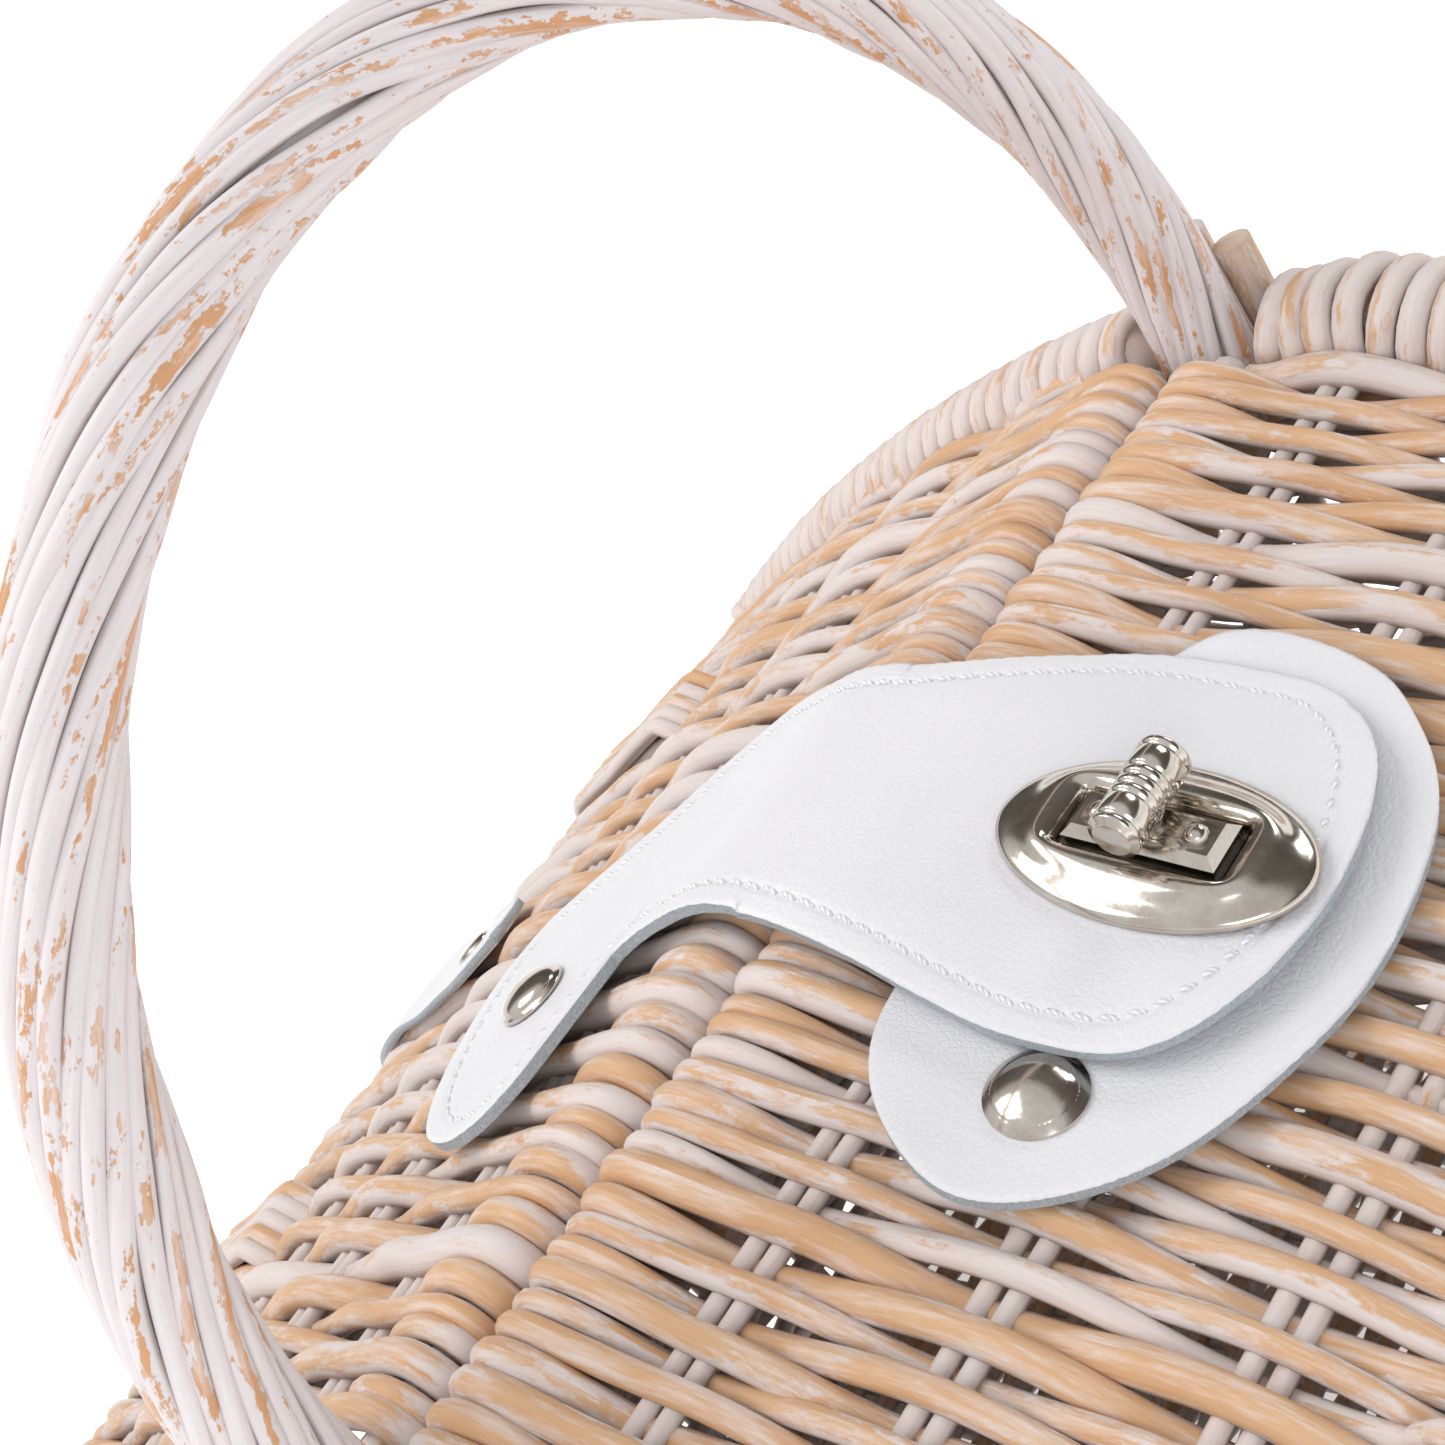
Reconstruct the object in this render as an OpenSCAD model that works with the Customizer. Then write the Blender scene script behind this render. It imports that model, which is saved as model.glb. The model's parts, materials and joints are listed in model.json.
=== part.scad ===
// Small willow picnic basket with two arched lids, a fixed hoop handle and a leather turn-lock strap.
// The lids meet at a ridge under the handle and hinge on leather at the two ends.
// Origin: centre of the base, on the floor.  +X across the seam, +Y along it, +Z up.  Millimetres.

/* [Basket] */
// Length over the two lids, across the seam
basket_l = 290; // [285:1:295]
// Depth over the lids, along the seam
basket_w = 232; // [230:1:234]
// Height of the ridge where the lids meet
ridge_h = 165; // [160:1:175]
// Length of the base
base_l = 250; // [246:1:254]
// Depth of the base
base_w = 200; // [198:1:202]
// Corner radius in plan
corner_r = 26; // [22:1:30]
// Thickness of the woven wall
wall_t = 5.5; // [5:0.1:6]

/* [Lids] */
// Radius of each lid's arch
arch_r = 335; // [330:1:340]
// Slope of each lid at the seam, degrees
seam_slope = 8; // [7:0.5:9]
// Thickness of the woven lid
lid_t = 11; // [10.5:0.1:11.5]
// Gap between the lids at the seam
seam_gap = 2; // [1.6:0.1:3]
// Spacing of the four lid ribs
rib_gap = 28; // [27.75:0.25:28.25]

/* [Handle] */
// Radius of the hoop's centre line
hoop_r = 107.5; // [107:0.5:108]
// Radius of the wrapped grip
grip_r = 7.8; // [7:0.1:8]
// Radius of the bow rod inside the grip
bow_r = 3.5; // [3:0.1:4]

/* [Closure] */
// Sideways offset of the closure from the middle of the seam
closure_y = 0; // [-4:1:4]
// Distance of the lock from the seam
lock_x = 50; // [49:0.5:51]
// Half width of the strap's neck
neck_half = 24; // [22:0.5:25]
// Length and width of the oval eyelet plate
plate_size = [40, 24]; // [20:1:50]
// Length of the turn bar
bar_l = 14.5; // [13:0.5:15]
// Radius of the turn bar
bar_r = 3; // [2.6:0.1:3.2]
// Radius of the domed rivet caps
cap_r = 6.2; // [5:0.1:6.5]

/* [Hidden] */
$fn = 48;

arc_x = arch_r * sin(seam_slope);
arc_z = ridge_h - arch_r * cos(seam_slope);
foot_h = 9;
base_t = 7;
stick_r = 2.2;
run = 0.05;                       // radial clearance of rods in their channels
rim_t = 9;                        // height of the rolled rim border
rim_out = 2.5;                    // how far the border stands proud of the wall
lid_gap = 0.4;                    // air between a closed lid and the rim
rim_top = -lid_t - 1 - lid_gap;   // heights from here on are measured from the lids' top surface
wall_top = rim_top - rim_t;
end_rim_z = 105;                  // height at which the end walls reach the lids' length
end_lean = atan((basket_l - base_l) / 2 / end_rim_z);
side_lean = atan((basket_w - base_w) / 2 / ridge_h);
leg_z = ridge_h + 6.5;            // height of the hoop's centre
leg_low_z = 20;
leg_low_y = base_w / 2 - 9;
leg_join_z = ridge_h - 22;
leg_r = 4.5;
peg_r = 1.6;
peg_z = 125;
edge_x = 6.5;                     // seam rod, and the same distance in from the outer end
edge_r = 3;
border_w = 9;
shank_r = 1.6;
hinge_w = 20;                     // one leather hinge at the middle of each end
binding_y = 58;                   // willow bindings on the lid's outer edge
binding_w = 14;
leather_t = 1.8;
hinge_rivet_x = 106;
wall_rivet_z = 68;                // rivet of each end hinge on the wall
leaf_out = rim_out + 0.4;         // how far the wall leaf stands off the wall
lid_bottom = lid_t + 1;           // depth of the woven lid below its top surface
lid_top = 0.4;                    // the weave stays this far below that surface
stake_step = 24;
stake_in = wall_t + 2.3;
rivet_grip = lid_t + 4.5;         // from a rivet's seat down to its washer
prong_gap = 16;                   // eyelet prongs, either side of the lock
lug_gap = 11;                     // lugs of the lock base, either side of the lock

// Heights above the lid's surface, from the patch up to the eyelet plate
patch_z = 0.5;
flange_z = patch_z + leather_t + 0.1;
back_z = flange_z + 1.6;
pad_z = back_z + 1.3;
pad_t = 2;
plate_z = pad_z + pad_t + 0.1;
plate_h = 2.6;
boss_top = plate_z + plate_h + 1.4;
bar_z = boss_top + 5;
opening = [22, 9.4];              // eyelet opening
boss = [20, 7.6];                 // boss that rises through it
prong_r = 1.2;
tab_y = -5;                       // the patch sits a little to one side of the strap
patch_rivet_y = 28.5;
patch_rivet_x = 51;
tail_rivet_x = 38;
tail_rivet_y = -30;
tail_end = 57;
pad_end = 72;
pad_half = 28.5;
ring_places = [-6.6, -1.9, 0, 1.9, 6.6];  // grooves along the turn bar

willow = "#d9bfa5";
pale_willow = "#e4d3c5";
leather = "#e9e9ee";
nickel = "#b9b6ae";

// Point [x, z] at the given distance above the lids' top surface
function arch_p(x, off) = let (s = (x + arc_x) / arch_r)
    [-arc_x + (arch_r + off) * s, arc_z + (arch_r + off) * sqrt(1 - s * s)];
function slope_at(x) = asin((x + arc_x) / arch_r);
// Half length and half depth of the tapered body at a height
function half_l(z) = base_l / 2 + z * tan(end_lean);
function half_w(z) = base_w / 2 + z * tan(side_lean);

module rounded_rect(l, w, r) {
    square([l - 2 * r, w], center = true);
    square([l, w - 2 * r], center = true);
    for (x = [-1, 1], y = [-1, 1]) translate([x * (l / 2 - r), y * (w / 2 - r)]) circle(r);
}

// Tapered block of the body, drawn in by inset, up to a little above the ridge
module taper(inset) {
    top = ridge_h + 5;
    hull() {
        linear_extrude(0.01)
            rounded_rect(2 * (half_l(0) - inset), 2 * (half_w(0) - inset), corner_r - inset);
        translate([0, 0, top]) linear_extrude(0.01)
            rounded_rect(2 * (half_l(top) - inset), 2 * (half_w(top) - inset), corner_r - inset);
    }
}

// Curved slab between two offsets of the arch on the +X side
module arch_slab(low, high) {
    translate([-arc_x, 0, arc_z]) rotate([90, 0, 0]) linear_extrude(2 * basket_w, center = true)
        difference() {
            circle(arch_r + high, $fn = 180);
            circle(arch_r + low, $fn = 180);
        }
}

// Everything under the arch, both sides, between z_low and the given offset
module under_arch(off, z_low) {
    for (side = [0, 1]) mirror([side, 0, 0]) intersection() {
        translate([-arc_x, 0, arc_z]) rotate([90, 0, 0]) linear_extrude(2 * basket_w, center = true)
            circle(arch_r + off, $fn = 180);
        translate([0, -basket_w, z_low]) cube([basket_l, 2 * basket_w, 2 * ridge_h]);
    }
}

// Stands children on the lid's top surface at x, y, with +Z along the surface normal
module on_lid(x, y = 0) {
    p = arch_p(x, 0);
    translate([p[0], y, p[1]]) rotate([0, slope_at(x), 0]) children();
}

// Rod along Y at a distance x from the seam, at the middle of the lid's thickness
module lid_rod(x, r, l) {
    p = arch_p(x, -lid_t / 2 - 0.5);
    translate([p[0], 0, p[1]]) rotate([90, 0, 0]) cylinder(h = l, r = r, center = true);
}

module rib_rods(extra, l) {
    for (i = [1 : 4]) lid_rod(i * rib_gap, stick_r + extra, l);
}

module edge_rods(extra, l) {
    lid_rod(edge_x, edge_r + extra, l);
    lid_rod(basket_l / 2 - edge_x, edge_r + extra, l);
}

// Plan of one lid, notched where the handle's foot passes
module lid_plan() {
    difference() {
        intersection() {
            rounded_rect(basket_l, basket_w, corner_r);
            translate([seam_gap / 2, -basket_w]) square([basket_l, 2 * basket_w]);
        }
        for (s = [-1, 1]) translate([0, s * (hoop_r + 5)]) square([2 * grip_r + 4, 30], center = true);
    }
}

module prism(h = 2 * ridge_h) {
    linear_extrude(h) children();
}

// Leather laid over the +X lid, of the given plan, from a height above it
module leather_sheet(above, t) {
    intersection() {
        arch_slab(above, above + t);
        prism() children();
    }
}

// Domed rivet standing on the lid: cap above, shank through, washer below
module rivet(cap, seat, grip, washer) {
    translate([0, 0, seat]) rotate_extrude() intersection() {
        translate([0, -cap * 1.1]) circle(cap * 1.5, $fn = 96);
        square([cap, cap]);
    }
    translate([0, 0, seat - grip]) cylinder(h = grip + 0.2, r = shank_r);
    translate([0, 0, seat - grip - 0.8]) cylinder(h = 0.8, r = washer);
}

module rivet_bore(depth = 40) {
    cylinder(h = depth, r = shank_r + run, center = true);
}

// Stadium with its long side on X
module stadium(l, w) {
    square([l - w, w], center = true);
    for (s = [-1, 1]) translate([s * (l - w) / 2, 0]) circle(w / 2);
}

module foot_rim() {
    color(willow) linear_extrude(foot_h) difference() {
        rounded_rect(base_l + 6, base_w + 6, corner_r + 3);
        rounded_rect(base_l - 16, base_w - 16, corner_r - 8);
    }
}

module base_rods(extra) {
    for (i = [-3 : 3]) translate([0, i * stake_step, foot_h + base_t / 2]) rotate([0, 90, 0])
        cylinder(h = base_l - 30, r = stick_r + extra, center = true);
}

module base_sticks() {
    color(pale_willow) base_rods(0);
}

module base_weave() {
    color(willow) difference() {
        translate([0, 0, foot_h]) linear_extrude(base_t)
            rounded_rect(base_l - 2 * wall_t, base_w - 2 * wall_t, corner_r - wall_t);
        base_rods(run);
    }
}

// One upright leaning with the wall: from a point on the base, tipped by the lean angles
module stake(x, y, lean_x, lean_y) {
    translate([x, y, 0]) rotate([lean_x, lean_y, 0]) cylinder(h = 2 * ridge_h, r = 1.7, $fn = 24);
}

module side_stakes() {
    color(pale_willow) intersection() {
        union() {
            for (s = [-1, 1], i = [-4 : 4]) if (i != 0)
                stake(i * stake_step, s * (base_w / 2 - stake_in), -s * side_lean, 0);
            for (s = [-1, 1], i = [-2.5 : 2.5])
                stake(s * (base_l / 2 - stake_in), i * 22, 0, s * end_lean);
        }
        under_arch(wall_top - 0.5, foot_h + base_t + 0.3);
    }
}

// Straight lower leg of the bow, from the hoop's end down inside the wall
module bow_leg(r) {
    dy = hoop_r - leg_low_y;
    dz = leg_join_z - leg_low_z;
    translate([0, leg_low_y, leg_low_z]) rotate([-atan(dy / dz), 0, 0])
        cylinder(h = sqrt(dy * dy + dz * dz), r = r);
}

module both_ends() {
    for (a = [0, 180]) rotate([0, 0, a]) children();
}

module peg_hole(extra) {
    both_ends() translate([0, hoop_r + 8, peg_z]) rotate([90, 0, 0])
        cylinder(h = 17, r = peg_r + extra, $fn = 24);
}

module side_weave() {
    color(willow) difference() {
        intersection() {
            taper(0);
            under_arch(wall_top, foot_h);
        }
        taper(wall_t);
        both_ends() bow_leg(leg_r + 0.3);
        peg_hole(run);
        both_ends() translate([0, hoop_r, leg_join_z - 3]) cylinder(h = 60, r = grip_r + 0.3);
        mirror([1, 0, 0]) wall_rivet_holes();
        wall_rivet_holes();
    }
}

module rim_border() {
    color(willow) difference() {
        intersection() {
            taper(-rim_out);
            union() for (side = [0, 1]) mirror([side, 0, 0]) intersection() {
                arch_slab(wall_top, rim_top);
                translate([0, -basket_w, 0]) cube([basket_l, 2 * basket_w, 2 * ridge_h]);
            }
        }
        taper(wall_t + rim_out);
        both_ends() translate([0, hoop_r, leg_join_z - 3]) cylinder(h = 60, r = grip_r + 0.3);
    }
}

module handle_bow() {
    color(pale_willow) difference() {
        union() {
            translate([0, 0, leg_z]) rotate([90, 0, 90]) rotate_extrude(angle = 180, $fn = 120)
                translate([hoop_r, 0]) circle(bow_r);
            both_ends() translate([0, hoop_r, leg_join_z - 1])
                cylinder(h = leg_z - leg_join_z + 1, r = bow_r);
            both_ends() bow_leg(leg_r);
        }
        peg_hole(run);
    }
}

module handle_wrap() {
    color(pale_willow) {
        translate([0, 0, leg_z]) rotate([90, 0, 90]) rotate_extrude(angle = 180, $fn = 120)
            translate([hoop_r, 0]) difference() {
                circle(grip_r);
                circle(bow_r + run);
            }
        both_ends() translate([0, hoop_r, leg_join_z + 2]) difference() {
            cylinder(h = leg_z - leg_join_z - 2, r = grip_r);
            translate([0, 0, -1]) cylinder(h = 40, r = bow_r + run);
        }
    }
}

module handle_pegs() {
    color(willow) peg_hole(0);
}

module lid_frame() {
    color(willow) intersection() {
        edge_rods(0, basket_w - 2 * border_w - 2);
        prism() lid_plan();
    }
}

module lid_ribs() {
    color(pale_willow) rib_rods(0, basket_w - 6);
}

module lid_weave() {
    color(willow) difference() {
        intersection() {
            arch_slab(-lid_bottom, -lid_top);
            prism() intersection() {
                lid_plan();
                translate([0, border_w + 0.2 - basket_w / 2])
                    square([basket_l, basket_w - 2 * border_w - 0.4]);
            }
        }
        edge_rods(run, 2 * basket_w);
        rib_rods(run, 2 * basket_w);
        on_lid(hinge_rivet_x) rivet_bore();
    }
}

module lid_borders() {
    color(willow) difference() {
        intersection() {
            arch_slab(-lid_bottom, -lid_top);
            prism() difference() {
                lid_plan();
                square([3 * basket_l, basket_w - 2 * border_w], center = true);
            }
        }
        rib_rods(run, 2 * basket_w);
    }
}

module left_lid_frame() {
    mirror([1, 0, 0]) lid_frame();
}

module left_lid_ribs() {
    mirror([1, 0, 0]) lid_ribs();
}

module left_lid_weave() {
    difference() {
        mirror([1, 0, 0]) lid_weave();
        mirror([1, 0, 0]) tail_rivet_place() rivet_bore();
    }
}

module left_lid_borders() {
    mirror([1, 0, 0]) lid_borders();
}

module right_lid_frame() {
    lid_frame();
}

module right_lid_ribs() {
    lid_ribs();
}

module right_lid_weave() {
    difference() {
        lid_weave();
        patch_rivet_places() rivet_bore();
        on_lid(lock_x, closure_y) prong_places() cylinder(h = 60, r = prong_r + run, center = true);
    }
}

module right_lid_borders() {
    lid_borders();
}

module patch_rivet_places() {
    for (s = [-1, 1]) on_lid(patch_rivet_x, closure_y + tab_y + s * patch_rivet_y) children();
}

module tail_rivet_place() {
    on_lid(tail_rivet_x, closure_y + tail_rivet_y) children();
}

module prong_places() {
    for (s = [-1, 1]) translate([s * lug_gap, 0, 0]) children();
}

module tail_plan() {
    translate([0, closure_y]) {
        translate([3, -neck_half]) square([30, 2 * neck_half]);
        hull() {
            translate([tail_end - 16, tail_rivet_y - 9]) circle(14);
            translate([tail_end - 13, -20]) circle(13);
            translate([22, 20]) circle(5);
            translate([16, 1 - neck_half]) circle(1);
        }
    }
}

module pad_plan() {
    translate([0, closure_y]) {
        translate([2, -neck_half]) square([30, 2 * neck_half]);
        hull() for (s = [-1, 1]) {
            translate([pad_end - 20, s * (pad_half - 20)]) circle(20);
            translate([38, s * (pad_half - 12)]) circle(12);
            translate([14, s * (neck_half - 1)]) circle(1);
        }
    }
}

module patch_plan() {
    translate([0, closure_y + tab_y]) hull() for (s = [-1, 1]) {
        translate([patch_rivet_x - 2, s * patch_rivet_y]) circle(14);
        translate([59, s * 12]) circle(18);
        translate([33, s * 14]) circle(10);
    }
}

module strap_tail() {
    color(leather) mirror([1, 0, 0]) difference() {
        leather_sheet(0.5, pad_t) tail_plan();
        tail_rivet_place() rivet_bore();
    }
}

module strap_rivet() {
    color(nickel) mirror([1, 0, 0]) tail_rivet_place()
        rivet(cap_r - 0.7, 0.5 + pad_t + 0.1, rivet_grip, 5);
}

module strap_pad() {
    color(leather) difference() {
        leather_sheet(pad_z, pad_t) pad_plan();
        on_lid(lock_x, closure_y) {
            translate([0, 0, pad_z]) cube([opening[0] + 1, opening[1] + 1, 12], center = true);
            for (s = [-1, 1]) translate([s * prong_gap, 0, 0]) cylinder(h = 30, r = 1.05, center = true);
        }
    }
}

module oval(l, w, h) {
    linear_extrude(h) scale([l / 2, w / 2]) circle(1, $fn = 48);
}

module eyelet_plate() {
    color(nickel) on_lid(lock_x, closure_y) translate([0, 0, plate_z]) {
        difference() {
            hull() {
                oval(plate_size[0], plate_size[1], 0.5);
                oval(plate_size[0] - 4, plate_size[1] - 4, 1.9);
                oval(plate_size[0] - 12, plate_size[1] - 9, plate_h);
            }
            cube([opening[0], opening[1], 20], center = true);
        }
        for (s = [-1, 1]) translate([s * prong_gap, 0, -pad_t - 1.6])
            cylinder(h = pad_t + 1.7, r = 1, $fn = 24);
    }
}

module prong_washers() {
    color(nickel) on_lid(lock_x, closure_y) for (s = [-1, 1]) translate([s * prong_gap, 0, back_z])
        difference() {
            cylinder(h = 0.5, r = 3.4);
            cylinder(h = 4, r = 1.05, center = true);
        }
}

module lock_patch() {
    color(leather) difference() {
        leather_sheet(patch_z, leather_t) patch_plan();
        patch_rivet_places() rivet_bore();
        on_lid(lock_x, closure_y) prong_places() cylinder(h = 30, r = prong_r + run, center = true);
    }
}

module patch_rivets() {
    color(nickel) patch_rivet_places() rivet(cap_r, patch_z + leather_t + 0.1, rivet_grip, 5);
}

// Side view of a block of width w with its two upper corners cut off
module bevelled(w, h, bevel) {
    half = w / 2;
    shoulder = half - bevel;
    polygon([[-half, 0], [half, 0], [half, h - bevel], [shoulder, h], [-shoulder, h], [-half, h - bevel]]);
}

module boss_block(h, bevel) {
    intersection() {
        rotate([90, 0, 0]) linear_extrude(boss[1], center = true) bevelled(boss[0], h, bevel);
        rotate([90, 0, 90]) linear_extrude(boss[0], center = true) bevelled(boss[1], h, bevel);
    }
}

module lock_base() {
    color(nickel) on_lid(lock_x, closure_y) difference() {
        union() {
            translate([0, 0, flange_z]) linear_extrude(0.6) stadium(32, 14);
            translate([0, 0, flange_z]) boss_block(boss_top - flange_z, 1.2);
            prong_places() translate([0, 0, -lid_t - 4])
                cylinder(h = lid_t + 4.2 + flange_z, r = prong_r, $fn = 24);
        }
        translate([0, 0, flange_z + 1]) cylinder(h = 30, r = shank_r + run);
    }
}

module lock_backplate() {
    color(nickel) on_lid(lock_x, closure_y) difference() {
        translate([0, 0, -lid_t - 2.8]) linear_extrude(0.8) stadium(36, 14);
        prong_places() cylinder(h = 60, r = prong_r + run, center = true);
    }
}

// Beaded bar on a spindle; the bar lies across the eyelet opening when locked
module turn_bar() {
    color(nickel) on_lid(lock_x, closure_y) {
        translate([0, 0, flange_z + 1.1]) cylinder(h = bar_z - flange_z - 1.1, r = shank_r);
        translate([0, 0, bar_z]) rotate([90, 0, 0]) difference() {
            cylinder(h = bar_l, r = bar_r, center = true);
            for (y = ring_places) translate([0, 0, y]) difference() {
                cylinder(h = 0.5, r = bar_r + 1, center = true);
                cylinder(h = 1, r = bar_r - 0.4, center = true);
            }
        }
    }
}

// Leather hinge on the +X end: the upper leaf lies on the lid, the lower one on the end wall
module lid_leaf() {
    from = hinge_rivet_x - 10;
    to = basket_l / 2 - 2;
    color(leather) difference() {
        leather_sheet(0.5, leather_t)
            translate([(from + to) / 2, 0]) square([to - from, hinge_w], center = true);
        on_lid(hinge_rivet_x) rivet_bore();
    }
}

module lid_hinge_rivet() {
    color(nickel) on_lid(hinge_rivet_x) rivet(4, 0.5 + leather_t + 0.1, rivet_grip, 4);
}

// Stands children on the end wall at a height, with +Z pointing out of the wall
module on_end_wall(z) {
    translate([half_l(z), 0, z]) rotate([0, 90 + end_lean, 0]) children();
}

module wall_rivet_holes() {
    on_end_wall(wall_rivet_z) rivet_bore(40);
}

module wall_leaf() {
    color(leather) on_end_wall(wall_rivet_z) difference() {
        translate([-6, 0, leaf_out + leather_t / 2]) cube([30, hinge_w, leather_t], center = true);
        rivet_bore(40);
    }
}

module wall_hinge_rivet() {
    color(nickel) on_end_wall(wall_rivet_z) rivet(4, leaf_out + leather_t + 0.1, wall_t + 5.5, 4);
}

// Willow bindings that lash the lid's outer edge
module lid_bindings() {
    color(pale_willow) intersection() {
        arch_slab(-0.3, 3.2);
        prism() for (s = [-1, 1])
            translate([basket_l / 2 - 25, s * binding_y]) square([46, binding_w], center = true);
    }
}

module left_hinge_lid_leaf() {
    mirror([1, 0, 0]) lid_leaf();
}

module left_hinge_lid_rivet() {
    mirror([1, 0, 0]) lid_hinge_rivet();
}

module left_hinge_wall_leaf() {
    mirror([1, 0, 0]) wall_leaf();
}

module left_hinge_wall_rivet() {
    mirror([1, 0, 0]) wall_hinge_rivet();
}

module left_lid_bindings() {
    mirror([1, 0, 0]) lid_bindings();
}

module right_hinge_lid_leaf() {
    lid_leaf();
}

module right_hinge_lid_rivet() {
    lid_hinge_rivet();
}

module right_hinge_wall_leaf() {
    wall_leaf();
}

module right_hinge_wall_rivet() {
    wall_hinge_rivet();
}

module right_lid_bindings() {
    lid_bindings();
}

foot_rim();
base_sticks();
base_weave();
side_stakes();
side_weave();
rim_border();
handle_bow();
handle_wrap();
handle_pegs();
left_lid_frame();
left_lid_ribs();
left_lid_weave();
left_lid_borders();
left_lid_bindings();
right_lid_frame();
right_lid_ribs();
right_lid_weave();
right_lid_borders();
right_lid_bindings();
strap_tail();
strap_rivet();
strap_pad();
eyelet_plate();
prong_washers();
lock_patch();
patch_rivets();
lock_base();
lock_backplate();
turn_bar();
left_hinge_lid_leaf();
left_hinge_lid_rivet();
left_hinge_wall_leaf();
left_hinge_wall_rivet();
right_hinge_lid_leaf();
right_hinge_lid_rivet();
right_hinge_wall_leaf();
right_hinge_wall_rivet();
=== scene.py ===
"""White-washed willow picnic basket: rods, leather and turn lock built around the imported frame."""
import json
import math
import random

import bpy
import numpy as np
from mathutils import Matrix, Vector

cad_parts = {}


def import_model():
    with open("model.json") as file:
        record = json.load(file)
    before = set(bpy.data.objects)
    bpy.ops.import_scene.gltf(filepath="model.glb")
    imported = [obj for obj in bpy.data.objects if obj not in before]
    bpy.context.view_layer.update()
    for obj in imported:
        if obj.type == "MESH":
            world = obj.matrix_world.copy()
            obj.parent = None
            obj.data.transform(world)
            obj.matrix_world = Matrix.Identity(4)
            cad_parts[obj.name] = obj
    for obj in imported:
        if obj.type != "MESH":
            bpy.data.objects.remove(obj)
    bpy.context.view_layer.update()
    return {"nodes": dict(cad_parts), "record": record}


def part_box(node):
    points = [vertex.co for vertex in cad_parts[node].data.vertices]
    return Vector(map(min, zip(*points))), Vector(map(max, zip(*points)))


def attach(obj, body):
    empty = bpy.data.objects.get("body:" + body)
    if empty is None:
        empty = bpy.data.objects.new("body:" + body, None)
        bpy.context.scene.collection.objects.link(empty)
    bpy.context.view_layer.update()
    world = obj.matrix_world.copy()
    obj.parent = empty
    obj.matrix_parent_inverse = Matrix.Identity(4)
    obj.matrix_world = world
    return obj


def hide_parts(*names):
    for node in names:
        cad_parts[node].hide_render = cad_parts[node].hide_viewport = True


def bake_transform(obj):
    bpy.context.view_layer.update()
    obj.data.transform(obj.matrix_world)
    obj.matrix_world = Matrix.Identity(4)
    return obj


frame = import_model()
MM = 0.001
RECORD = frame["record"]
JOINTS = {j["name"]: j for j in RECORD["behaviour"]["joints"]}
rng = random.Random(11)


def box_mm(node):
    low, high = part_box(node)
    return np.array(low) / MM, np.array(high) / MM


# ------------ sizes, in millimetres
ARCH_R = 335.0                     # radius of the lids' arch, as in the CAD
LOCK = np.array(JOINTS["bar_turn"]["pos_m"]) / MM
LOCK_UP = np.array(JOINTS["bar_turn"]["axis"])
ARC_X = ARCH_R * LOCK_UP[0] - LOCK[0]
ARC_Z = LOCK[2] - ARCH_R * LOCK_UP[2]
HALF_L = box_mm("right_lid_weave")[1][0]
HALF_W = box_mm("right_lid_borders")[1][1]
RIDGE = ARC_Z + math.sqrt(ARCH_R ** 2 - ARC_X ** 2)
FOOT_H = box_mm("foot_rim")[1][2]
BASE_HALF = box_mm("foot_rim")[1][:2]
RIM_HALF = box_mm("rim_border")[1][:2]
WRAP_LOW, WRAP_HIGH = box_mm("handle_wrap")
HANDLE_R = 7.8                     # half the thickness of the handle in the CAD
HOOP_R = (WRAP_HIGH[1] - WRAP_LOW[1]) / 2 - HANDLE_R
HOOP_Z = RIDGE + 3.5               # centre of the hoop's half circle
CORNER_R = 26.0                    # corners of the basket, seen from above
LID_MID = -6.2                     # middle of the woven lid, below the arch surface
RIB_X = [28.0, 56.0, 84.0, 112.0]  # ribs of a lid, from the seam outwards
RIB_RISE = 1.0                     # the ribs lie this much above the middle of the lid
SEAM_X = 8.4                       # seam rod of a lid
OUTER_X = HALF_L - 7.6             # rod at a lid's outer end
WRAP_R = 3.0                       # radius of both of these rods
WINDING = WRAP_R + 2.05            # from their centre to the middle of a rod wound round them


# ------------ camera
def look(name, location, degrees, lens):
    data = bpy.data.cameras.new(name)
    data.lens = lens
    data.sensor_width = 36.0
    camera = bpy.data.objects.new(name, data)
    bpy.context.collection.objects.link(camera)
    camera.location = location
    camera.rotation_euler = [math.radians(a) for a in degrees]
    bpy.context.scene.camera = camera


# Fitted to the hoop, the seam, the rivets and the lock in the photograph
look("camera", (0.24308, -0.16649, 0.33513), (57.926, 31.183, 38.312), 64.90)
bpy.context.scene.view_settings.view_transform = "Standard"


# ------------ shapes
def lid_z(x):
    return ARC_Z + np.sqrt(ARCH_R ** 2 - (np.asarray(x, float) + ARC_X) ** 2)


def on_lid(x, y, off):
    """Points at arch positions x, at a height off above the arch surface."""
    s = (np.asarray(x, float) + ARC_X) / ARCH_R
    r = ARCH_R + np.asarray(off, float)
    return xyz(r * s - ARC_X, y, ARC_Z + r * np.sqrt(1 - s * s))


def unit(v):
    return v / np.maximum(np.linalg.norm(v, axis=-1, keepdims=True), 1e-9)


def xyz(x, y, z):
    """Points from their coordinates; a single number serves for all of them."""
    return np.stack(np.broadcast_arrays(x, y, z), -1).astype(float)


def travel(path):
    """Distance along a path at each of its points."""
    return np.concatenate([[0], np.cumsum(np.linalg.norm(np.diff(path, axis=0), axis=1))])


def ease(t):
    """Smooth step of a value, clipped to 0..1."""
    t = np.clip(t, 0, 1)
    return t * t * (3 - 2 * t)


def wander(n, size, waves):
    """Smooth random drift along a rod."""
    t = np.linspace(0, 1, n)
    out = np.zeros(n)
    for k in range(1, 4):
        out += rng.uniform(-1, 1) * np.sin(2 * math.pi * (k * waves * t / 2 + rng.random())) / k
    return out * size


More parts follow.
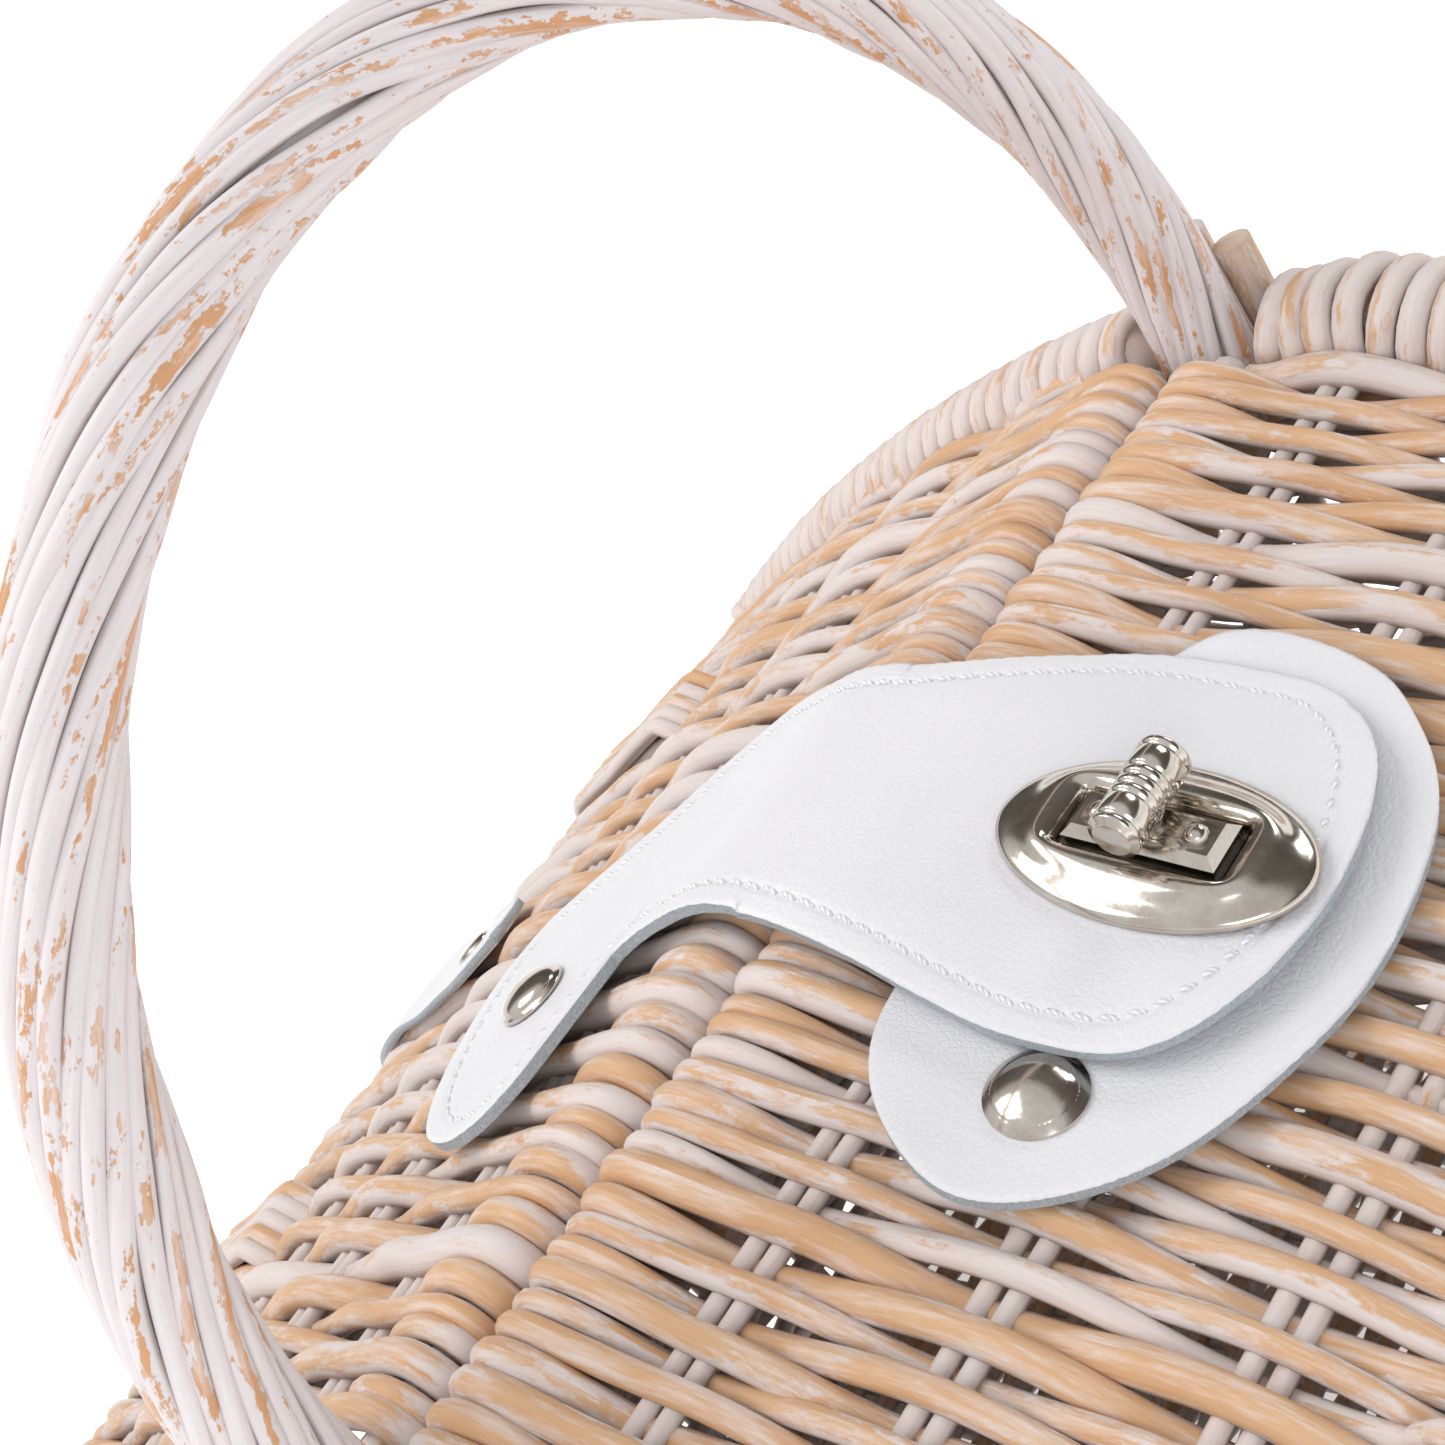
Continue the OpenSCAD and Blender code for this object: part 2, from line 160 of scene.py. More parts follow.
class Strands:
    """Swept rods gathered into one mesh, with attributes that the materials read."""

    def __init__(self):
        self.verts, self.faces, self.uvs = [], [], []
        self.worn, self.rod, self.count = [], [], 0

    def add(self, path, radius, hint, outward=None, sides=10, flat=1.0, caps=True):
        path = np.asarray(path, float)
        n = len(path)
        tangent = unit(np.gradient(path, axis=0))
        side = unit(np.cross(tangent, np.broadcast_to(hint, path.shape)))
        up = np.cross(side, tangent)
        angle = np.linspace(0, 2 * math.pi, sides, endpoint=False)
        across, above = np.cos(angle)[None, :, None], flat * np.sin(angle)[None, :, None]
        ring = across * side[:, None] + above * up[:, None]
        radius = np.broadcast_to(radius, (n,)).astype(float)
        points = path[:, None] + radius[:, None, None] * ring
        out = np.broadcast_to(up if outward is None else outward, path.shape)
        # How far each point faces out from the rod: read as wear on the crest and as painted shade at the
        # foot.
        worn = 0.5 + 0.5 * (unit(ring) * out[:, None]).sum(-1)
        along = travel(path)
        along += rng.uniform(0, 4000)
        around = np.linspace(0, 2 * math.pi * radius.mean(), sides + 1)
        tone = rng.random()
        base = self.count
        self.verts.append(points.reshape(-1, 3))
        self.worn.append(worn.reshape(-1))
        self.rod.append(np.full(n * sides, tone))
        i = np.arange(n - 1)[:, None] * sides
        j = np.arange(sides)[None, :]
        k = (j + 1) % sides
        quads = np.stack([i + j, i + k, i + sides + k, i + sides + j], -1).reshape(-1, 4) + base
        u0, u1 = np.broadcast_to(around[:-1], (n - 1, sides)), np.broadcast_to(around[1:], (n - 1, sides))
        v0 = np.broadcast_to(along[:-1, None], (n - 1, sides))
        v1 = np.broadcast_to(along[1:, None], (n - 1, sides))
        uv = np.stack([u0, v0, u1, v0, u1, v1, u0, v1], -1).reshape(-1, 8)
        self.faces += quads.tolist()
        self.uvs.append(uv.reshape(-1, 2))
        self.count += n * sides
        if caps:
            for end, sign in ((0, -1), (n - 1, 1)):
                tip = path[end] + sign * tangent[end] * radius[end] * 0.22
                self.verts.append(tip[None])
                self.worn.append(np.array([1.0]))
                self.rod.append(np.array([tone]))
                rim = [base + end * sides + m for m in range(sides)]
                for m in range(sides):
                    pair = [rim[m], rim[(m + 1) % sides]]
                    self.faces.append((pair[::-1] if sign < 0 else pair) + [self.count])
                    self.uvs.append(np.full((3, 2), along[end]))
                self.count += 1

    def build(self, name, material):
        mesh = surface(name, np.concatenate(self.verts), self.faces, material)
        layer = mesh.uv_layers.new(name="UVMap")
        layer.data.foreach_set("uv", (np.concatenate(self.uvs) * MM).astype(np.float32).ravel())
        for label, values in (("worn", self.worn), ("rod", self.rod)):
            attribute = mesh.attributes.new(label, "FLOAT", "POINT")
            attribute.data.foreach_set("value", np.concatenate(values).astype(np.float32))
        mesh.polygons.foreach_set("use_smooth", np.ones(len(mesh.polygons), bool))
        return link(name, mesh)


def surface(name, verts, faces, *materials):
    """New mesh from points in millimetres, with its materials."""
    mesh = bpy.data.meshes.new(name)
    mesh.from_pydata((verts * MM).tolist(), [], faces)
    for material in materials:
        mesh.materials.append(material)
    return mesh


def link(name, mesh):
    mesh.update()
    piece = bpy.data.objects.new(name, mesh)
    bpy.context.collection.objects.link(piece)
    return piece


def coil(centre, radius, pitch, out_hint, phase=0.0, samples=18):
    """Path of a rod wound round a centre line; returns the points and their outward directions."""
    along = travel(centre)
    turns = along[-1] / pitch
    t = np.linspace(0, along[-1], max(8, int(turns * samples)))
    c = np.stack([np.interp(t, along, centre[:, a]) for a in range(3)], -1)
    tangent = unit(np.gradient(c, axis=0))
    side = unit(np.cross(tangent, np.broadcast_to(out_hint, c.shape)))
    up = np.cross(side, tangent)
    angle = phase + 2 * math.pi * t / pitch
    out = np.cos(angle)[:, None] * side + np.sin(angle)[:, None] * up
    return c + radius * out, out


def spread(low, high, radius, jitter, gap):
    """Rods of slightly different thickness packed side by side from low to high."""
    radii, places, at = [], [], low
    while at < high:
        r = radius * (1 + rng.uniform(-jitter, jitter))
        at += r
        places.append(at)
        radii.append(r)
        at += r + rng.uniform(0, gap)
    scale = (high - low) / (at - low)
    return [(low + (p - low) * scale, r) for p, r in zip(places, radii)]


# ------------ materials
def nodes_of(name):
    material = bpy.data.materials.new(name)
    material.use_nodes = True
    tree = material.node_tree
    shader = tree.nodes["Principled BSDF"]
    return material, tree, shader


def add(tree, kind, **values):
    node = tree.nodes.new(kind)
    for key, value in values.items():
        if hasattr(node, key):
            setattr(node, key, value)
        else:
            node.inputs[key.replace("_", " ")].default_value = value
    return node


def texture(tree, kind, place, **values):
    """Texture node that reads the given coordinates."""
    node = add(tree, "ShaderNodeTex" + kind, **values)
    tree.links.new(place, node.inputs["Vector"])
    return node


def ramp(tree, factor, stops):
    node = tree.nodes.new("ShaderNodeValToRGB")
    elements = node.color_ramp.elements
    for k, (at, colour) in enumerate(stops):
        element = elements[k] if k < 2 else elements.new(at)
        element.position = at
        element.color = tuple(colour) + (1,)
    tree.links.new(factor, node.inputs["Fac"])
    return node.outputs["Color"]


def srgb(r, g, b):
    return tuple((c / 255 / 12.92) if c < 10 else ((c / 255 + 0.055) / 1.055) ** 2.4 for c in (r, g, b))


def mix(tree, factor, a, b, blend="MIX"):
    node = tree.nodes.new("ShaderNodeMix")
    node.data_type = "RGBA"
    node.blend_type = blend
    for socket, value in (("Factor", factor), ("A", a), ("B", b)):
        target = [s for s in node.inputs if s.name == socket and s.enabled][0]
        if isinstance(value, (int, float)):
            target.default_value = value
        elif isinstance(value, tuple):
            target.default_value = value + (1,)
        else:
            tree.links.new(value, target)
    return [s for s in node.outputs if s.enabled][0]


def maths(tree, operation, a, b=0.0, clamp=False):
    node = tree.nodes.new("ShaderNodeMath")
    node.operation = operation
    node.use_clamp = clamp
    for k, value in enumerate((a, b)):
        if isinstance(value, (int, float)):
            node.inputs[k].default_value = value
        else:
            tree.links.new(value, node.inputs[k])
    return node.outputs[0]


def finish(tree, shader, colour, rough):
    """Colour of a material, and its roughness as a value or a socket."""
    tree.links.new(colour, shader.inputs["Base Color"])
    if isinstance(rough, float):
        shader.inputs["Roughness"].default_value = rough
    else:
        tree.links.new(rough, shader.inputs["Roughness"])


def relief(tree, shader, height, strength, distance):
    """Bump from a height."""
    bump = add(tree, "ShaderNodeBump", Strength=strength, Distance=distance)
    tree.links.new(height, bump.inputs["Height"])
    tree.links.new(bump.outputs["Normal"], shader.inputs["Normal"])


def willow(name, paint, shade, bare, dark, bareness, worn_pull, tone_pull, crease=(0.28, 0.58), painted_shade_amount=0.6,
           chipping=0.25, edge=0.09, tint=0.3):
    """Painted willow: whitewash in the grooves, bare wood where it has rubbed off.

    The wood shows where patches of noise, plus the pulls of the rod's crest, its own tone and small chips,
    rise past a threshold; edge is how softly. Painted shade darkens the foot of each rod, in the grooves
    between rods: crease places it and the shade amount sets how dark.
    """
    material, tree, shader = nodes_of(name)
    uv = add(tree, "ShaderNodeUVMap", uv_map="UVMap")
    # Facing value of each point: the crest rubs bare, the foot gets painted shade.
    worn = add(tree, "ShaderNodeAttribute", attribute_name="worn").outputs["Fac"]
    tone = add(tree, "ShaderNodeAttribute", attribute_name="rod").outputs["Fac"]

    def stretched(across, along, scale, detail, roughness=0.6):
        mapping = add(tree, "ShaderNodeMapping")
        mapping.inputs["Scale"].default_value = (across, along, 1)
        tree.links.new(uv.outputs["UV"], mapping.inputs["Vector"])
        noise = texture(tree, "Noise", mapping.outputs["Vector"], Scale=scale, Detail=detail,
                        Roughness=roughness)
        return noise.outputs["Fac"]

    patches = stretched(1.0, 0.22, 260.0, 5.0, 0.62)
    grain = stretched(1.0, 0.06, 1500.0, 4.0)
    chips = stretched(1.0, 0.5, 900.0, 3.0, 0.7)
    mottle = stretched(0.5, 0.5, 90.0, 2.0)
    score = maths(tree, "ADD", patches, bareness)
    for source, pull in ((worn, worn_pull), (tone, tone_pull), (chips, chipping)):
        centred = maths(tree, "SUBTRACT", source, 0.5)
        score = maths(tree, "ADD", score, maths(tree, "MULTIPLY", centred, pull))
    bare_amount = ramp(tree, score, [(0.52, (0, 0, 0)), (0.52 + edge, (1, 1, 1))])
    wood = mix(tree, mottle, bare, dark)
    wood = mix(tree, maths(tree, "MULTIPLY", grain, 0.5), wood, dark)
    wash = mix(tree, maths(tree, "MULTIPLY", grain, 0.9), paint, shade)
    wash = mix(tree, maths(tree, "MULTIPLY", mottle, tint), wash, bare)
    veil = ramp(tree, stretched(0.8, 0.1, 520.0, 4.0, 0.7), [(0.46, (0, 0, 0)), (0.72, (1, 1, 1))])
    wood = mix(tree, maths(tree, "MULTIPLY", veil, 0.75), wood, paint)
    colour = mix(tree, bare_amount, wash, wood)
    # Painted shade: the foot of each rod, low on the facing value, is darkened towards the shade colour as
    # if shadowed by its neighbours.
    recess_painted_shade = ramp(tree, worn, [(0.0, (0.25,) * 3), (crease[0] - 0.14, (0.4,) * 3),
                               (crease[0], (1, 1, 1)), (crease[1], (0, 0, 0))])
    colour = mix(tree, maths(tree, "MULTIPLY", recess_painted_shade, painted_shade_amount), colour, RECESS_PAINTED_SHADE)
    rough = ramp(tree, bare_amount, [(0.0, (0.62,) * 3), (1.0, (0.48,) * 3)])
    finish(tree, shader, colour, rough)
    shader.inputs["Specular IOR Level"].default_value = 0.35
    sunken = maths(tree, "MULTIPLY", bare_amount, -0.35)
    relief(tree, shader, maths(tree, "ADD", maths(tree, "MULTIPLY", grain, 0.5), sunken), 0.55, 0.00035)
    return material


def leather_material(name, colour, dark, grain_scale, depth):
    material, tree, shader = nodes_of(name)
    place = add(tree, "ShaderNodeTexCoord").outputs["Object"]
    cells = texture(tree, "Voronoi", place, feature="DISTANCE_TO_EDGE", Scale=grain_scale)
    fine = texture(tree, "Noise", place, Scale=grain_scale * 1.6, Detail=4.0, Roughness=0.6)
    broad = texture(tree, "Noise", place, Scale=55.0, Detail=2.0)
    pores = ramp(tree, cells.outputs["Distance"], [(0.0, (0, 0, 0)), (0.16, (1, 1, 1))])
    shade = mix(tree, maths(tree, "MULTIPLY", broad.outputs["Fac"], 0.55), colour, dark)
    shade = mix(tree, maths(tree, "MULTIPLY", maths(tree, "SUBTRACT", 1.0, pores), 0.05), shade, dark)
    rough = ramp(tree, fine.outputs["Fac"], [(0.3, (0.36,) * 3), (0.8, (0.56,) * 3)])
    finish(tree, shader, shade, rough)
    shader.inputs["Specular IOR Level"].default_value = 0.45
    height = maths(tree, "ADD", maths(tree, "MULTIPLY", pores, 0.35), fine.outputs["Fac"])
    relief(tree, shader, height, 0.45, depth)
    return material


def raw_edge_material(name):
    material, tree, shader = nodes_of(name)
    place = add(tree, "ShaderNodeTexCoord").outputs["Object"]
    fibres = texture(tree, "Noise", place, Scale=2600.0, Detail=5.0, Roughness=0.75)
    colour = ramp(tree, fibres.outputs["Fac"], [(0.3, srgb(150, 163, 172)), (0.75, srgb(214, 222, 228))])
    finish(tree, shader, colour, 0.9)
    relief(tree, shader, fibres.outputs["Fac"], 0.8, 0.0004)
    return material


def thread_material(name):
    material, tree, shader = nodes_of(name)
    uv = add(tree, "ShaderNodeUVMap", uv_map="UVMap").outputs["UV"]
    twist = texture(tree, "Wave", uv, Scale=700.0, Distortion=1.0, bands_direction="DIAGONAL")
    colour = ramp(tree, twist.outputs["Fac"], [(0.0, srgb(205, 208, 214)), (1.0, srgb(244, 244, 246))])
    finish(tree, shader, colour, 0.7)
    return material


def nickel_material(name):
    material, tree, shader = nodes_of(name)
    place = add(tree, "ShaderNodeTexCoord").outputs["Object"]
    smear = texture(tree, "Noise", place, Scale=240.0, Detail=4.0, Roughness=0.65)
    pits = texture(tree, "Noise", place, Scale=1800.0, Detail=2.0)
    colour = ramp(tree, smear.outputs["Fac"], [(0.3, srgb(190, 181, 170)), (0.7, srgb(214, 208, 200))])
    shader.inputs["Metallic"].default_value = 1.0
    rough = ramp(tree, smear.outputs["Fac"], [(0.3, (0.10,) * 3), (0.8, (0.20,) * 3)])
    finish(tree, shader, colour, rough)
    relief(tree, shader, pits.outputs["Fac"], 0.06, 0.0001)
    return material


HONEY, HONEY_DARK = srgb(229, 193, 155), srgb(198, 152, 112)
# Colour of the painted shade at the foot of the rods.
RECESS_PAINTED_SHADE = srgb(126, 104, 90)
WASHED = (srgb(232, 228, 229), srgb(200, 190, 191), HONEY, HONEY_DARK)
BRUSHED = (srgb(238, 235, 238), srgb(206, 199, 202), srgb(222, 164, 120), HONEY_DARK)
WILLOW_LID = willow("willow_lid", *WASHED, bareness=-0.05, worn_pull=0.42, tone_pull=0.40)
WILLOW_BODY = willow("willow_body", *WASHED, bareness=-0.02, worn_pull=0.36, tone_pull=0.30)
WILLOW_STICK = willow("willow_sticks", *WASHED, bareness=-0.20, worn_pull=0.10, tone_pull=0.30)
# The handle's painted shade lies further up the sides of its twisted rods, in the grooves between them, and
# is lighter.
WILLOW_HANDLE = willow("willow_handle", *BRUSHED, bareness=-0.21, worn_pull=0.34, tone_pull=0.12,
                       crease=(0.56, 0.74), painted_shade_amount=0.42, chipping=0.4, edge=0.03, tint=0.12)
WILLOW_CUT = willow("willow_cut_ends", *WASHED, bareness=0.12, worn_pull=0.10, tone_pull=0.10)
LEATHER = leather_material("white_leather", srgb(234, 234, 238), srgb(219, 220, 226), 900.0, 0.00025)
RAW_EDGE = raw_edge_material("leather_raw_edge")
THREAD = thread_material("white_thread")
NICKEL = nickel_material("nickel")


# ------------ lids
def rod_path(side, y, k, start_x, wrapped):
    """Centre line of a lid rod: round the seam rod, in and out of the ribs, round the outer rod."""
    lift = 2.15 + rng.uniform(-0.2, 0.2)
    stations = [start_x] + RIB_X + [OUTER_X]
    heights = [WINDING if wrapped else 0.0]
    heights += [RIB_RISE + lift * (1 if (k + i) % 2 == 0 else -1) for i in range(len(RIB_X))]
    heights += [WINDING]
    xs, hs = [], []
    for a, b, ha, hb in zip(stations[:-1], stations[1:], heights[:-1], heights[1:]):
        t = np.linspace(0, 1, 11)[:-1]
        wave = 0.5 - 0.5 * np.cos(math.pi * t)
        xs += list(a + (b - a) * t)
        hs += list(ha + (hb - ha) * wave)
    xs.append(OUTER_X)
    hs.append(WINDING)
    turn = np.linspace(math.pi / 2, 3 * math.pi / 2, 12)
    tuck = rng.uniform(5, 11)
    if wrapped:
        head_x = list(SEAM_X + WINDING * np.cos(turn[::-1]))
        head_h = list(WINDING * np.sin(turn[::-1]))
        head_x = [SEAM_X + tuck] + head_x
        head_h = [-WINDING - 0.2] + head_h
        xs, hs = head_x[:-1] + xs, head_h[:-1] + hs
    tail_x = list(OUTER_X + WINDING * np.cos(math.pi - turn[1:]))
    tail_h = list(WINDING * np.sin(math.pi - turn[1:]))
    xs = xs + tail_x + [OUTER_X - tuck]
    hs = hs + tail_h + [-WINDING - 0.2]
    n = len(xs)
    ys = y + wander(n, 0.45, 3)
    path = on_lid(np.array(xs), ys, LID_MID + np.array(hs))
    path[:, 0] *= side
    return path


def lid_normals(path, side):
    s = (np.abs(path[:, 0]) + ARC_X) / ARCH_R
    s = np.clip(s, -0.99, 0.99)
    return xyz(side * s, 0.0, np.sqrt(1 - s * s))


NOTCH_Y = HOOP_R - 9.0             # beyond this the seam rod stops, to leave room for the handle
CORE_Y = HALF_W - 6.0              # middle of the wound side edges
ROD_R = 2.15                       # radius of the lids' woven rods
# Per side of the basket: how far the side edges' winding rises above the weave, and its reach
EDGE_WINDING = {-1: (0.0, 5.6), 1: (3.4, 7.0)}


def straight_rod(strands, side, x, off, half_y, radius, count=60):
    """Stiff rod that runs across a lid."""
    y = np.linspace(-half_y, half_y, count)
    path = on_lid(np.full(count, x) + wander(count, 0.25, 2), y, off + wander(count, 0.2, 2))
    path[:, 0] *= side
    strands.add(path, radius, (0, 0, 1), outward=(0, 0, 1))


def lid_weave(side, label):
    strands = Strands()
    edge_y = CORE_Y - 3.6
    for k, (y, r) in enumerate(spread(-edge_y, edge_y, ROD_R, 0.24, 0.0)):
        wrapped = abs(y) < NOTCH_Y
        start_x = SEAM_X if wrapped else 13.0
        path = rod_path(side, y, k, start_x, wrapped)
        taper = r * np.linspace(1.08, 1.0, len(path))
        taper = taper * (1 + wander(len(path), 0.03, 6))
        normals = lid_normals(path, side)
        strands.add(path, taper, (0, 1, 0), outward=normals, sides=12, flat=0.95)
    return strands.build(label + "_weave_rods", WILLOW_LID)


def lid_sticks(side, label):
    strands = Strands()
    for x in RIB_X:
        for step in (-1.7, 1.7):
            straight_rod(strands, side, x + step, LID_MID + RIB_RISE, CORE_Y, 1.35)
    straight_rod(strands, side, OUTER_X, LID_MID, CORE_Y - 2, WRAP_R)
    straight_rod(strands, side, SEAM_X, LID_MID, NOTCH_Y + 3, WRAP_R)
    return strands.build(label + "_sticks", WILLOW_STICK)


def lid_edges(side, label):
    """The side edges of a lid: a rod wound closely round a core."""
    strands = Strands()
    rise, reach = EDGE_WINDING[side]
    for end in (-1, 1):
        x = np.linspace(14.5, OUTER_X + 1.0, 120)
        inset = np.clip((x - (HALF_L - CORNER_R)) / CORNER_R, 0, 1)
        y = end * (CORE_Y - 5.0 * inset ** 2)
        centre = on_lid(x, y, LID_MID + 1.2 + rise * ease((x - 15) / 16))
        centre[:, 0] *= side
        strands.add(centre, 4.6, (0, 0, 1), outward=(0, 0, 1))
        path, out = coil(centre, reach, 4.7, (0, 0, 1))
        thickness = 2.25 * (1 + wander(len(path), 0.06, 40))
        strands.add(path, thickness, out, outward=out, sides=10)
    return strands.build(label + "_edge_coils", WILLOW_LID)


def lid_lashings(side, label):
    """Willow bindings that lie on the weave and lash it to the outer rod of a lid."""
    low, high = box_mm(label + "_bindings")
    start_x = min(abs(low[0]), abs(high[0])) + 1.0
    reach = WRAP_R + 5.4
    strands = Strands()
    for centre_y in (low[1] + 7.0, high[1] - 7.0):
        for k in range(5):
            y = centre_y + (k - 2) * 3.0
            run = np.linspace(0, 1, 24)
            xs = start_x - 4 + (OUTER_X - start_x + 4) * run
            climb = np.clip((xs - OUTER_X + 14) / 14, 0, 1)
            hs = -5.0 + (reach + 3.2) * ease((xs - start_x + 3) / 7) + 1.8 * climb
            turn = np.linspace(math.pi / 2, -1.1, 16)[1:]
            xs = np.concatenate([xs, OUTER_X + 0.75 * reach * np.cos(turn)])
            hs = np.concatenate([hs, reach * np.sin(turn)])
            path = on_lid(xs, y + wander(len(xs), 0.3, 3), LID_MID + hs)
            path[:, 0] *= side
            strands.add(path, 1.65, (0, 1, 0), outward=lid_normals(path, side), sides=10)
    return strands.build(label + "_lashings", WILLOW_LID)


for side, label in ((-1, "left_lid"), (1, "right_lid")):
    weave = lid_weave(side, label)
    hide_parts(label + "_weave")
    sticks = lid_sticks(side, label)
    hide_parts(label + "_ribs", label + "_frame")
    edges = lid_edges(side, label)
    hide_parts(label + "_borders")
    lashings = lid_lashings(side, label)
    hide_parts(label + "_bindings")
    for piece, slot in ((weave, "willow_lid"), (sticks, "willow_sticks"), (edges, "willow_lid"),
                        (lashings, "willow_sticks")):
        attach(piece, label)


# ------------ handle
def hoop_line(low_z):
    """Centre line of the handle, from one foot over the hoop to the other."""
    leg = np.arange(low_z, HOOP_Z, 2.0)
    near = xyz(0.0, -HOOP_R, leg)
    angle = np.linspace(math.pi, 0, 190)
    arc = xyz(0.0, HOOP_R * np.cos(angle), HOOP_Z + HOOP_R * np.sin(angle))
    far = near[::-1] * (1, -1, 1)
    return np.concatenate([near, arc, far])


def handle():
    """Thin rods twisted together round the handle's core."""
    strands = Strands()
    line = hoop_line(WRAP_LOW[2] + 1)
    along = travel(line)
    tangent = unit(np.gradient(line, axis=0))
    side = np.broadcast_to((1.0, 0, 0), line.shape)
    up = np.cross(side, tangent)
    count, lead = 17, 165.0
    for k in range(count):
        r = 1.36 * (1 + rng.uniform(-0.28, 0.28)) * (1 + wander(len(line), 0.05, 9))
        phase = 2 * math.pi * (k + rng.uniform(-0.12, 0.12)) / count
        angle = phase - 2 * math.pi * along / lead + wander(len(line), 0.09, 8)
        out = np.cos(angle)[:, None] * side + np.sin(angle)[:, None] * up
        reach = 6.1 + wander(len(line), 0.42, 9)
        strands.add(line + out * reach[:, None], r, out, outward=out, sides=14, flat=1.0)
    strands.add(line, 5.0, (1, 0, 0), outward=-up, sides=20)
    return strands.build("handle_twisted_rods", WILLOW_HANDLE)


hoop = handle()
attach(hoop, "basket")
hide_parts("handle_wrap", "handle_bow")


# ------------ body
RIM_LOW = -21.4                    # foot of the rim, below the lids' arch
WALL_IN = 3.0                      # from the outside of the walls to their middle
STAKES = 44
END_TOP = float(on_lid(HALF_L - 3, 0, RIM_LOW)[2])
FOOT_HALF = BASE_HALF - 3
TOP_HALF = RIM_HALF - 2.5
LEAN = (TOP_HALF - FOOT_HALF) / (END_TOP + 8, RIDGE - 14)


def plan_half(z):
    """Half length and half width of the walls at a height."""
    return FOOT_HALF[0] + LEAN[0] * z, FOOT_HALF[1] + LEAN[1] * z


def outline(half_l, half_w, radius, step=3.0):
    """Rounded rectangle as a closed run of points, with its outward directions."""
    points, normals = [], []
    cx, cy = half_l - radius, half_w - radius
    quarter = math.pi / 2
    corners = [(cx, cy, 0.0), (-cx, cy, quarter), (-cx, -cy, math.pi), (cx, -cy, 3 * quarter)]
    for cx, cy, start in corners:
        for a in np.linspace(start, start + quarter, 14):
            points.append((cx + radius * math.cos(a), cy + radius * math.sin(a)))
            normals.append((math.cos(a), math.sin(a)))
    points, normals = np.array(points + points[:1]), np.array(normals + normals[:1])
    along = travel(points)
    t = np.arange(0, along[-1], step)
    return (np.stack([np.interp(t, along, points[:, a]) for a in (0, 1)], -1),
            np.stack([np.interp(t, along, normals[:, a]) for a in (0, 1)], -1), along[-1])


def wall_limit(x, off):
    """Height of the arch at x, at the given offset below the lids' surface."""
    s = (np.abs(x) + ARC_X) / (ARCH_R + off)
    return ARC_Z + (ARCH_R + off) * np.sqrt(np.maximum(1 - s * s, 0.01))


def body_weave():
    """Rows of rods woven in and out of the stakes, up to the curved rim."""
    strands = Strands()
    z, row = FOOT_H + 2.0, 0
    while z < RIDGE + RIM_LOW:
        half_l, half_w = plan_half(z)
        points, normals, total = outline(half_l - WALL_IN, half_w - WALL_IN, CORNER_R - WALL_IN)
        along = np.linspace(0, total, len(points), endpoint=False)
        weave = 1.9 * np.cos(math.pi * (STAKES * along / total + row))
        path = xyz(*(points + normals * weave[:, None]).T, z)
        path[:, 2] += wander(len(path), 0.35, 7)
        out = xyz(*normals.T, 0.0)
        r = 2.1 * (1 + rng.uniform(-0.08, 0.1))
        keep = wall_limit(path[:, 0], RIM_LOW + 1) > z
        if keep.all():
            path, out = np.concatenate([path, path[:1]]), np.concatenate([out, out[:1]])
            strands.add(path, r, (0, 0, 1), outward=out, sides=10, caps=False)
        else:
            for end in (-1, 1):
                pick = keep & (path[:, 1] * end > 0) & (np.abs(normals[:, 1]) > 0.7)
                order = np.argsort(path[pick][:, 0])
                if pick.sum() > 4:
                    run, facing = path[pick][order], out[pick][order]
                    strands.add(run, r, (0, 0, 1), outward=facing, sides=10)
        z += 4.35
        row += 1
    return strands.build("body_weave_rods", WILLOW_BODY)


def body_stakes():
    strands = Strands()
    low_l, low_w = plan_half(0)
    points, normals, total = outline(low_l - WALL_IN, low_w - WALL_IN, CORNER_R - WALL_IN, 1.0)
    for k in range(STAKES):
        at = int((k / STAKES) * len(points)) % len(points)
        foot, out = points[at], normals[at]
        z = np.linspace(5.0, RIDGE, 60)
        x = foot[0] * (plan_half(z)[0] - WALL_IN) / (low_l - WALL_IN)
        y = foot[1] * (plan_half(z)[1] - WALL_IN) / (low_w - WALL_IN)
        keep = z < wall_limit(x, RIM_LOW + 5)
        path = xyz(x, y, z)[keep]
        strands.add(path, 1.8, (out[1], -out[0], 0), outward=(out[0], out[1], 0), sides=8)
    return strands.build("body_stakes", WILLOW_STICK)


def rope(strands, centre, reach, radius, lead, count=3):
    """Rods twisted round a closed line."""
    closed = np.concatenate([centre, centre[:1]])
    for k in range(count):
        path, out = coil(closed, reach, lead, (0, 0, 1), 2 * math.pi * k / count, 16)
        thickness = radius * (1 + rng.uniform(-0.05, 0.05))
        strands.add(path, thickness, (0, 0, 1), outward=out, sides=10, caps=False)


def foot_rope():
    strands = Strands()
    points, _, _ = outline(BASE_HALF[0] - 4.5, BASE_HALF[1] - 4.5, CORNER_R, 4.0)
    for height, lead in ((2.9, 26.0), (7.0, 22.0)):
        centre = xyz(*points.T, height)
        rope(strands, centre, 1.6, 1.5, lead)
    return strands.build("foot_rope", WILLOW_BODY)


def rim_rope():
    strands = Strands()
    half_l, half_w = RIM_HALF - 5.6
    points, _, _ = outline(half_l, half_w, CORNER_R - 3, 3.0)
    for off in (-18.6, -15.2):
        height = wall_limit(points[:, 0], off)
        shrink = 1 - 0.128 * (RIDGE - height) / RIDGE * (np.abs(points[:, 1]) / half_w)
        centre = xyz(points[:, 0], points[:, 1] * shrink, height)
        rope(strands, centre, 1.75, 1.6, 24.0)
    return strands.build("rim_rope", WILLOW_BODY)


